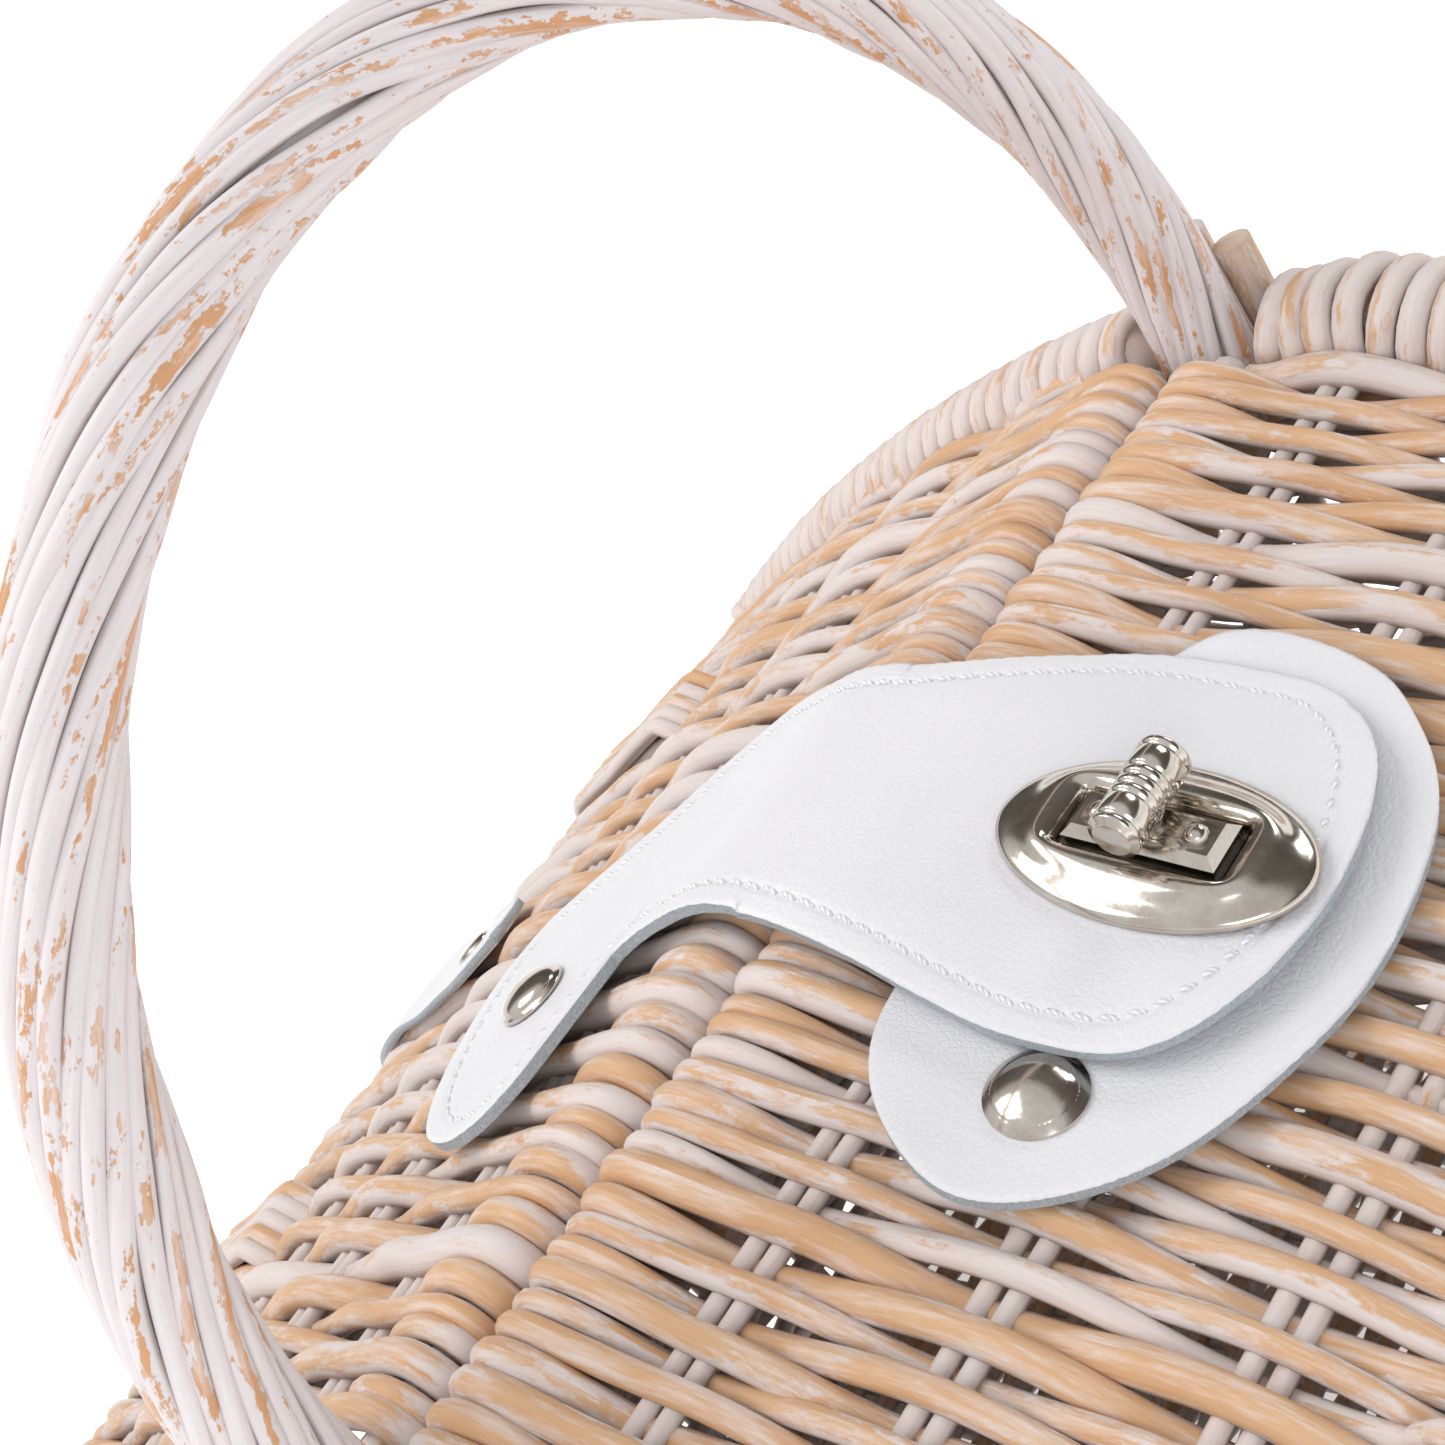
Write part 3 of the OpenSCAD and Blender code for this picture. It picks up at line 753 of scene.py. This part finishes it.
def base_floor():
    """Woven floor, and the pairs of sticks that it is woven on."""
    strands = Strands()
    low, high = box_mm("base_weave")
    mid = (low[2] + high[2]) / 2
    pitch = 24.0
    x, k = low[0] + 4.0, 0
    while x < high[0] - 3:
        y = np.linspace(low[1] + 2.5, high[1] - 2.5, 90)
        corner = max(0.0, abs(x) - (high[0] - CORNER_R))
        cut = CORNER_R - math.sqrt(max(CORNER_R ** 2 - corner ** 2, 0))
        reach = high[1] - 2.5 - cut
        y = y * reach / y[-1]
        z = mid + 2.1 * np.cos(math.pi * (y / pitch + k))
        path = xyz(x, y, z)
        strands.add(path, 1.9, (1, 0, 0), outward=(0, 0, 1), sides=8)
        x += 4.3
        k += 1
    floor = strands.build("base_weave_rods", WILLOW_BODY)
    strands = Strands()
    for y in pitch * np.arange(-3, 4):
        for step in (-1.8, 1.8):
            line = np.linspace(low[0] + 3, high[0] - 3, 40)
            path = xyz(line, y + step, mid)
            strands.add(path, 1.7, (0, 0, 1), outward=(0, 0, 1), sides=8)
    return floor, strands.build("base_stick_rods", WILLOW_STICK)


# Place across the seam, distance past the hoop, and height above the ridge
CUT_ENDS = [(-8.5, 5.0, 10.0), (-2.0, 10.5, 8.0), (6.5, 8.5, 6.0)]


def cut_ends():
    """Cut stake ends that stand up behind each foot of the handle."""
    strands = Strands()
    for end in (-1, 1):
        for x, past, top in CUT_ENDS:
            z = np.linspace(RIDGE - 24, RIDGE + top, 12)
            path = xyz(x, end * (HOOP_R + past), z)
            strands.add(path, 3.1, (1, 0, 0), outward=(0, 0, 1), sides=12)
    return strands.build("handle_stake_ends", WILLOW_CUT)


walls = body_weave()
stakes = body_stakes()
foot = foot_rope()
rim = rim_rope()
base, base_sticks = base_floor()
ends = cut_ends()
for piece, slot, hidden in (
        (walls, "willow_body", ["side_weave"]), (stakes, "willow_sticks", ["side_stakes"]),
        (foot, "willow_body", ["foot_rim"]), (rim, "willow_body", ["rim_border"]),
        (base, "willow_body", ["base_weave"]), (base_sticks, "willow_sticks", ["base_sticks"]),
        (ends, "willow_sticks", [])):
    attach(piece, "basket")
    if hidden:
        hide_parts(*hidden)


# ------------ leather
def closed_curve(points, per=16):
    """Closed Catmull-Rom curve through the given points."""
    p = np.array(points, float)
    n = len(p)
    out = []
    for i in range(n):
        a, b, c, d = p[i - 1], p[i], p[(i + 1) % n], p[(i + 2) % n]
        for t in np.linspace(0, 1, per, endpoint=False):
            out.append(0.5 * (2 * b + (c - a) * t + (2 * a - 5 * b + 4 * c - d) * t * t
                              + (3 * b - a - 3 * c + d) * t ** 3))
    return np.array(out)


def halves(curve):
    """Lower and upper side of a closed curve, as x and y runs."""
    low, high = int(curve[:, 0].argmin()), int(curve[:, 0].argmax())
    one = curve[low:high + 1] if low < high else np.concatenate([curve[low:], curve[:high + 1]])
    two = curve[high:low + 1] if high < low else np.concatenate([curve[high:], curve[:low + 1]])
    two = two[::-1]
    return (one, two) if one[:, 1].mean() < two[:, 1].mean() else (two, one)


def soft(x, points, width=5.0):
    """Smoothed broken line through (x, value) points."""
    px, py = zip(*points)
    return sum(np.interp(x + d, px, py) for d in np.linspace(-width, width, 9)) / 9


def strap_base(x):
    return lid_z(np.sqrt(np.asarray(x, float) ** 2 + 36.0))


def closed_sheet(name, upper, lower, raw_under, smooth_edge, turned=False):
    """Leather between two equal grids of points; its edge, and if told its underside, is raw."""
    rows, columns = upper.shape[:2]
    index = np.arange(rows * columns).reshape(rows, columns)
    corners = [index[:-1, :-1], index[1:, :-1], index[1:, 1:], index[:-1, 1:]]
    quad = np.stack(corners, -1).reshape(-1, 4)
    faces = quad.tolist() + (quad[:, ::-1] + index.size).tolist()
    first_edge = len(faces)
    loop = list(index[:, 0]) + list(index[-1, 1:]) + list(index[::-1, -1][1:])
    loop += list(index[0, ::-1][1:-1])
    for a, b in zip(loop, loop[1:] + loop[:1]):
        faces.append([int(a), int(a) + index.size, int(b) + index.size, int(b)])
    if turned:
        faces = [face[::-1] for face in faces]
    verts = np.concatenate([upper.reshape(-1, 3), lower.reshape(-1, 3)])
    mesh = surface(name, verts, faces, LEATHER, RAW_EDGE)
    slots = np.zeros(len(faces), int)
    slots[len(quad) if raw_under else first_edge:] = 1
    mesh.polygons.foreach_set("material_index", slots)
    smooth = np.ones(len(faces), bool)
    smooth[first_edge:] = smooth_edge
    mesh.polygons.foreach_set("use_smooth", smooth)
    return link(name, mesh)


def leather_sheet(name, points, under, thickness, stations, columns, groove):
    """A cut piece of leather; under(x, y) is the height of its underside.

    A dented line follows its edge at the distance groove, where that isn't 0.
    """
    curve = closed_curve(points)
    lower, upper = halves(curve)
    t = 0.5 - 0.5 * np.cos(np.linspace(0.035, math.pi - 0.035, stations))
    x0, x1 = curve[:, 0].min(), curve[:, 0].max()
    xs = x0 + (x1 - x0) * (0.55 * t + 0.45 * np.linspace(0.0005, 0.9995, stations))
    y_low = np.interp(xs, lower[:, 0], lower[:, 1])
    y_high = np.interp(xs, upper[:, 0], upper[:, 1])
    v = 0.5 - 0.5 * np.cos(np.linspace(0, math.pi, columns))
    v = 0.35 * v + 0.65 * np.linspace(0, 1, columns)
    gx = np.repeat(xs[:, None], columns, 1)
    gy = y_low[:, None] + (y_high - y_low)[:, None] * v[None]
    flat = np.stack([gx, gy], -1).reshape(-1, 2)
    fine = closed_curve(points, 26)
    edge = np.sqrt(((flat[:, None] - fine[None]) ** 2).sum(-1).min(1)).reshape(gx.shape)
    bottom = xyz(gx, gy, under(gx, gy))
    slope_x = under(gx + 0.5, gy) - under(gx - 0.5, gy)
    slope_y = under(gx, gy + 0.5) - under(gx, gy - 0.5)
    normal = unit(xyz(-slope_x, -slope_y, 1.0))
    rounding = 0.35 * np.clip(1 - edge / 0.9, 0, 1) ** 2
    dent = 0.32 * np.exp(-((edge - groove) / 0.55) ** 2) if groove else 0.0
    top = bottom + normal * (thickness - rounding - dent)[..., None]
    bottom = bottom + normal * (0.2 * np.clip(1 - edge / 0.6, 0, 1) ** 2)[..., None]
    return closed_sheet(name, top, bottom, raw_under=True, smooth_edge=False)


def stitches(name, points, under, thickness, inset, pitch=3.1):
    """White thread along the dented line, one short arched stitch after another."""
    curve = closed_curve(points, 40)
    forward = unit(np.roll(curve, -1, 0) - np.roll(curve, 1, 0))
    normal = np.stack([-forward[:, 1], forward[:, 0]], -1)
    after = np.roll(curve, -1, 0)
    area = (curve[:, 0] * after[:, 1] - curve[:, 1] * after[:, 0]).sum()
    inner = curve + normal * inset * (1 if area > 0 else -1)
    along = travel(inner)
    strands = Strands()
    at = 1.0
    while at < along[-1] - pitch:
        s = np.linspace(at, at + pitch * 0.76, 7)
        x, y = np.interp(s, along, inner[:, 0]), np.interp(s, along, inner[:, 1])
        arch = 0.45 * np.sin(np.linspace(0, math.pi, 7)) - 0.42
        slant = np.linspace(-0.12, 0.12, 7)
        z = under(x, y + slant) + thickness + arch
        strands.add(xyz(x, y + slant, z), 0.36, (0, 0, 1), sides=7)
        at += pitch
    return strands.build(name, THREAD)


# Outlines seen from above, x across the seam and y along it
STRAP = [(-57, -12), (-52, -6), (-42, 4), (-33, 16), (-22, 23), (-8, 22.5), (6, 22.5), (20, 27),
         (34, 31), (48, 32), (60, 30.5), (69, 20), (72, 3), (69, -15), (61, -26), (48, -29),
         (36, -27.5), (22, -24.5), (8, -22.5), (-7, -21.8), (-17, -22.5), (-21.5, -26.5),
         (-22, -35), (-21.5, -45), (-24.5, -52.5), (-31, -56), (-40, -54), (-49, -45),
         (-55.5, -33), (-58.5, -22)]
PATCH = [(27, -20), (29, -33), (36, -42.5), (47, -48.5), (57, -46), (66, -37), (73, -22),
         (76.8, -2), (74.5, 19), (66, 34), (56, 39.5), (44, 38.5), (34, 32), (28, 22), (26, 0)]
STRAP_T, PATCH_T = 2.0, 1.8
SEWN_IN = 3.8                      # from the strap's edge to its stitches
# Height of the strap's underside above the lids' arch, along x
STRAP_RISE = [(-60, 0.2), (-30, 0.3), (-16, 2.6), (-4, 5.6), (8, 6.2), (22, 5.6), (40, 5.4),
              (75, 5.2)]


def strap_under(x, y):
    """Underside of the strap: over the ridge, its sides sagging past the seam."""
    sag = 0.035 * np.maximum(np.abs(y) - 16, 0) ** 1.5
    lift = soft(x, STRAP_RISE)
    return strap_base(x) + lift - np.minimum(sag, 1.6) * (x > 4)


def patch_under(x, y):
    """Underside of the patch, with its curled far edge."""
    curl = 2.6 * np.exp(-((y - 38.0) / 5.5) ** 2) * (0.8 + 0.5 * np.sin(x / 5.5))
    near = 0.4 * np.clip((-y - 42.0) / 8.0, 0, 1)
    ripple = 0.125 * np.sin(x / 4.1 + y / 6.0)
    return lid_z(x) + 0.2 + curl + near + ripple


strap = leather_sheet("strap_leather", STRAP, strap_under, STRAP_T, 240, 110, SEWN_IN)
strap_thread = stitches("strap_stitches", STRAP, strap_under, STRAP_T, SEWN_IN)
patch = leather_sheet("lock_patch_leather", PATCH, patch_under, PATCH_T, 120, 100, 0)
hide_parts("strap_tail", "strap_pad")
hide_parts("lock_patch")
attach(patch, "right_lid")
for piece in (strap, strap_thread):
    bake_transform(piece)


def end_hinge(side, label):
    """Leather strip from the lid, round the outer rod, down the end wall."""
    low, high = box_mm(label + "_hinge_lid_leaf")
    wall_low, wall_high = box_mm(label + "_hinge_wall_leaf")
    top_x = low[0] if side > 0 else -high[0]
    half = (high[1] - low[1]) / 2
    hinge = np.abs(np.array(JOINTS[label + "_lid_hinge"]["pos_m"]) / MM)
    x_run = np.linspace(top_x, HALF_L - 3.0, 16)
    upper = on_lid(x_run, 0, 0.1 + 2.2 * ease((x_run - OUTER_X + 20) / 14))[:, [0, 2]]
    out_x = max(abs(wall_low[0]), abs(wall_high[0])) + 0.3
    bend = [(HALF_L + 1.6, upper[-1][1] - 3.5), (HALF_L + 2.5, hinge[2] + 6.0),
            (out_x + 0.6, hinge[2] - 1.5)]
    drop = np.linspace(0, wall_high[2] - wall_low[2], 12)
    lower = np.stack([out_x - 0.19 * drop, wall_high[2] - drop], -1)
    line = np.concatenate([upper, bend, lower])
    along = travel(line)
    s = np.linspace(0, along[-1], 90)
    x, z = (np.interp(s, along, line[:, a]) for a in (0, 1))
    kernel = np.ones(7) / 7
    for run in (x, x, z, z):
        run[3:-3] = np.convolve(run, kernel, "valid")
    tangent = unit(np.stack([np.gradient(x), np.gradient(z)], -1))
    normal = np.stack([-tangent[:, 1], tangent[:, 0]], -1)
    v = np.linspace(-1, 1, 26)
    to_end = np.minimum(s, along[-1] - s)
    end_round = np.minimum(1, np.sqrt(np.clip(to_end / 6.0, 0.02, 1)))
    layers = []
    for layer in (1.0, -0.9):
        rounding = 0.25 * np.abs(v) ** 12
        off = layer - np.sign(layer) * rounding
        px = x[:, None] + normal[:, :1] * off[None]
        pz = z[:, None] + normal[:, 1:] * off[None]
        py = half * end_round[:, None] * v[None]
        layers.append(xyz(side * px, py, pz))
    piece = closed_sheet(label + "_hinge_leather", *layers, raw_under=False, smooth_edge=True,
                         turned=side < 0)
    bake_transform(piece)
    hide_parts(label + "_hinge_lid_leaf", label + "_hinge_wall_leaf")


for side, label in ((-1, "left"), (1, "right")):
    end_hinge(side, label)


# ------------ lock
LOCK_SIDE = np.array((LOCK_UP[2], 0, -LOCK_UP[0]))
LOCK_ACROSS = np.array((0.0, 1.0, 0.0))


def at_lock(points):
    """Points given along the strap, across it and up from the lock, in the basket's frame."""
    p = np.asarray(points, float)
    return LOCK + p[..., :1] * LOCK_SIDE + p[..., 1:2] * LOCK_ACROSS + p[..., 2:3] * LOCK_UP


def height_of(node):
    """Lowest and highest distance of a CAD node above the lid, along the lock's axis."""
    data = frame["nodes"][node].data
    heights = [(np.array(v.co) / MM - LOCK) @ LOCK_UP for v in data.vertices]
    return min(heights), max(heights)


def rings_mesh(name, rings, cap_first=False, cap_last=False, carry=at_lock):
    """Nickel surface through a stack of rings with equal point counts."""
    rings = np.asarray(rings, float)
    n, m = rings.shape[:2]
    index = np.arange(n * m).reshape(n, m)
    nxt = np.roll(index, -1, 1)
    faces = np.stack([index[:-1], nxt[:-1], nxt[1:], index[1:]], -1).reshape(-1, 4).tolist()
    if cap_first:
        faces.append([int(i) for i in index[0][::-1]])
    if cap_last:
        faces.append([int(i) for i in index[-1]])
    mesh = surface(name, carry(rings.reshape(-1, 3)), faces, NICKEL)
    mesh.polygons.foreach_set("use_smooth", np.ones(len(faces), bool))
    return link(name, mesh)


def ring_of(half_x, half_y, power, z, count=128):
    """Super-ellipse ring: power 2 is an oval, a large power nears a rectangle."""
    a = np.linspace(0, 2 * math.pi, count, endpoint=False)
    c, s = np.cos(a), np.sin(a)
    r = (np.abs(c) ** power + np.abs(s) ** power) ** (-1 / power)
    return xyz(half_x * c * r, half_y * s * r, z)


# Half length, half width, squareness and height of each ring
plate_low = height_of("eyelet_plate")[1] - 2.6
PLATE = [(19.6, 11.7, 2, -0.1), (20.0, 12.0, 2, 0.15), (20.0, 12.0, 2, 0.45), (19.6, 11.6, 2, 0.8),
         (18.8, 10.9, 2.05, 1.05), (17.8, 10.1, 2.15, 1.35), (16.7, 9.2, 2.4, 1.75), (15.6, 8.4, 2.8, 2.25),
         (14.7, 7.6, 3.3, 2.68), (13.9, 6.9, 4.0, 2.9), (13.2, 6.3, 5, 2.95), (12.5, 5.8, 7, 2.8),
         (11.8, 5.25, 10, 2.4), (11.2, 4.8, 14, 1.9), (11.0, 4.7, 14, -1.8)]
rings = [ring_of(a, b, power, plate_low + z) for a, b, power, z in PLATE]
plate = rings_mesh("eyelet_plate_shell", rings)
solid = plate.modifiers.new("thickness", "SOLIDIFY")
solid.thickness = -0.0004
solid.offset = -1
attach(plate, "strap")
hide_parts("eyelet_plate")

boss_low, boss_top = plate_low - 3.0, height_of("lock_base")[1]
BOSS = [(9.9, 3.75, 12, boss_low), (10.0, 3.8, 12, boss_top - 1.9), (9.9, 3.7, 10, boss_top - 1.6),
        (8.7, 2.6, 8, boss_top - 0.2), (8.5, 2.4, 8, boss_top - 0.05), (8.2, 2.2, 8, boss_top)]
boss = rings_mesh("lock_boss", [ring_of(*ring) for ring in BOSS], cap_last=True)
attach(boss, "right_lid")
# Radius and height of the rings of a pin's rounded end
BUMP = [(1.5, 0.0), (1.45, 0.35), (1.2, 0.7), (0.8, 0.95), (0.35, 1.05)]
for sign, tag in ((-1, "inner"), (1, "outer")):
    rings = [ring_of(r, r, 2, boss_top + z, 32) + (sign * 6.2, 0, 0) for r, z in BUMP]
    bump = rings_mesh("lock_peened_pin_" + tag, rings, cap_last=True)
    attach(bump, "right_lid")


def lathe(name, profile, origin, axis, sides):
    """Turned nickel piece: (radius, height) pairs along the axis from the origin."""
    axis = unit(np.asarray(axis, float))
    first = unit(np.cross(axis, (0.31, 0.95, 0.05)))
    second = np.cross(axis, first)
    a = np.linspace(0, 2 * math.pi, sides, endpoint=False)
    spin = np.cos(a)[:, None] * first + np.sin(a)[:, None] * second
    rings = [origin + axis * h + spin * r for r, h in profile]
    return rings_mesh(name, rings, cap_first=True, cap_last=True, carry=lambda p: p)


bar_low, bar_high = height_of("turn_bar")
BAR_R, BAR_HALF = 3.35, 7.25
GROOVES = (-5.6, -2.2, -0.75, 0.75, 2.2, 5.6)
GROOVE = [(0, -0.45), (0.1, -0.3), (0.38, -0.12), (0.38, 0.12), (0.1, 0.3), (0, 0.45)]
CAP = [(0.3, 0), (2.3, 0), (2.5, 0.1), (2.6, 0.35), (BAR_R - 0.08, 0.6), (BAR_R, 0.8)]
bar_centre = LOCK + LOCK_UP * (bar_high - BAR_R)
profile = [(r, -BAR_HALF + inward) for r, inward in CAP]
for middle in GROOVES:
    profile += [(BAR_R - depth, middle + along) for depth, along in GROOVE]
profile += [(r, BAR_HALF - inward) for r, inward in CAP[::-1]]
bar = lathe("turn_bar_grip", profile, bar_centre, (0, 1, 0), 64)
bar_foot = bar_high - 2 * BAR_R
SPINDLE = [(1.5, bar_low + 1), (1.5, bar_foot - 1.6), (1.9, bar_foot - 0.6), (2.3, bar_foot + 0.9)]
spindle = lathe("turn_bar_spindle", SPINDLE, LOCK, LOCK_UP, 40)
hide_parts("turn_bar")
for piece in (bar, spindle):
    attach(piece, "turn_bar")


def rivet_at(name, side, x, y, lift, radius, body, dome=2.0):
    """Domed cap on a lid, at an arch position x and at y."""
    profile = [(radius * 0.985, -0.15), (radius, 0.05), (radius, 0.35), (radius * 0.97, 0.5),
               (radius * 0.92, 0.55)]
    for a in np.linspace(0.12, 1.0, 9) * math.pi / 2:
        profile.append((radius * 0.9 * math.cos(a) + 0.02, 0.55 + dome * math.sin(a)))
    slope = (x + ARC_X) / ARCH_R
    up = (side * slope, 0, math.sqrt(1 - slope ** 2))
    piece = lathe(name, profile, on_lid(x, y, lift) * (side, 1, 1), up, 56)
    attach(piece, body)
    return piece


PATCH_RIVET_R = 6.2
near_y = box_mm("patch_rivets")[0][1] + PATCH_RIVET_R
far_y = box_mm("patch_rivets")[1][1] - PATCH_RIVET_R
for name, y in (("patch_rivet_near", near_y), ("patch_rivet_far", far_y)):
    rivet_at(name, 1, 51.0, y, 2.0, PATCH_RIVET_R, "right_lid")
rivet_at("strap_rivet_cap", -1, 38.0, -30.0, 2.5, 5.5, "left_lid")
for side, label in ((-1, "left"), (1, "right")):
    cap = rivet_at(label + "_hinge_lid_cap", side, 106.0, 0.0, 0.9, 3.8, label + "_lid", 0.7)
    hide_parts(label + "_hinge_lid_rivet")


# ------------ CAD nodes that stay
MATERIALS = {"willow_body": WILLOW_BODY, "willow_lid": WILLOW_LID, "willow_sticks": WILLOW_STICK,
             "willow_handle": WILLOW_HANDLE, "white_leather": LEATHER, "nickel": NICKEL}
slot_of = {part["node"]: part["material_slot"] for part in RECORD["subparts"]}
for node, piece in frame["nodes"].items():
    piece.data.materials.clear()
    piece.data.materials.append(MATERIALS[slot_of.get(node, "nickel")])


# ------------ studio
# Radius and height along the profile of the floor, a wide dish that curves up at its edge
DISH = [(0.6, 0.0), (2.4, 0.0), (2.8, 0.06), (3.1, 0.22), (3.3, 0.5), (3.35, 0.9)]


def studio(sides=64):
    """White floor."""
    turn = np.linspace(0, 2 * math.pi, sides, endpoint=False)
    verts = [(r * math.cos(a), r * math.sin(a), z) for r, z in DISH for a in turn]
    faces = [list(range(sides))]
    for ring in range(len(DISH) - 1):
        for k in range(sides):
            near, far = ring * sides + k, ring * sides + (k + 1) % sides
            faces.append([near, near + sides, far + sides, far])
    mesh = bpy.data.meshes.new("studio_floor")
    mesh.from_pydata(verts, [], faces)
    mesh.polygons.foreach_set("use_smooth", np.ones(len(faces), bool))
    material, tree, shader = nodes_of("studio_floor")
    place = add(tree, "ShaderNodeTexCoord").outputs["Object"]
    noise = texture(tree, "Noise", place, Scale=3.0)
    colour = ramp(tree, noise.outputs["Fac"], [(0.0, (0.93,) * 3), (1.0, (0.95,) * 3)])
    tree.links.new(colour, shader.inputs["Base Color"])
    shader.inputs["Roughness"].default_value = 1.0
    shader.inputs["Specular IOR Level"].default_value = 0.0
    shader.inputs["Emission Color"].default_value = (1.0, 1.0, 1.0, 1)
    shader.inputs["Emission Strength"].default_value = 0.4
    mesh.materials.append(material)
    link("studio_floor", mesh)


def lamp(name, location, size, power, colour, target=(0, 0, 0.12)):
    """Area lamp that points at the basket."""
    data = bpy.data.lights.new(name, "AREA")
    data.shape = "RECTANGLE"
    data.size, data.size_y = size
    data.energy = power
    data.color = colour
    piece = bpy.data.objects.new(name, data)
    bpy.context.collection.objects.link(piece)
    piece.location = location
    direction = np.array(target) - np.array(location)
    yaw = math.atan2(direction[1], direction[0])
    pitch = math.acos(-direction[2] / np.linalg.norm(direction))
    piece.rotation_euler = (pitch, 0, yaw - math.pi / 2)


def world():
    """White sky that is darker low down and behind, so that the metal has something to mirror."""
    scene_world = bpy.data.worlds.new("studio_world")
    scene_world.use_nodes = True
    bpy.context.scene.world = scene_world
    tree = scene_world.node_tree
    background = tree.nodes["Background"]
    place = add(tree, "ShaderNodeTexCoord").outputs["Generated"]
    axes = tree.nodes.new("ShaderNodeSeparateXYZ")
    tree.links.new(place, axes.inputs[0])
    height = maths(tree, "MULTIPLY", axes.outputs["Z"], 0.7)
    front = maths(tree, "MULTIPLY", axes.outputs["Y"], -0.6)
    colour = ramp(tree, maths(tree, "ADD", height, front), [
        (0.0, (0.16, 0.14, 0.125)), (0.30, (0.24, 0.22, 0.20)), (0.46, (0.9,) * 3), (0.9, (1.0,) * 3)])
    tree.links.new(colour, background.inputs["Color"])
    background.inputs["Strength"].default_value = 0.8


studio()
world()
lamp("key_light", (-0.5, -0.3, 1.3), (0.7, 0.7), 8.3, (1.0, 0.985, 0.97))
lamp("fill_light", (0.9, -0.8, 0.7), (0.6, 0.4), 3.2, (0.99, 0.99, 1.0))
lamp("back_light", (0.2, 1.1, 0.8), (0.5, 0.25), 3.2, (1.0, 1.0, 1.0))
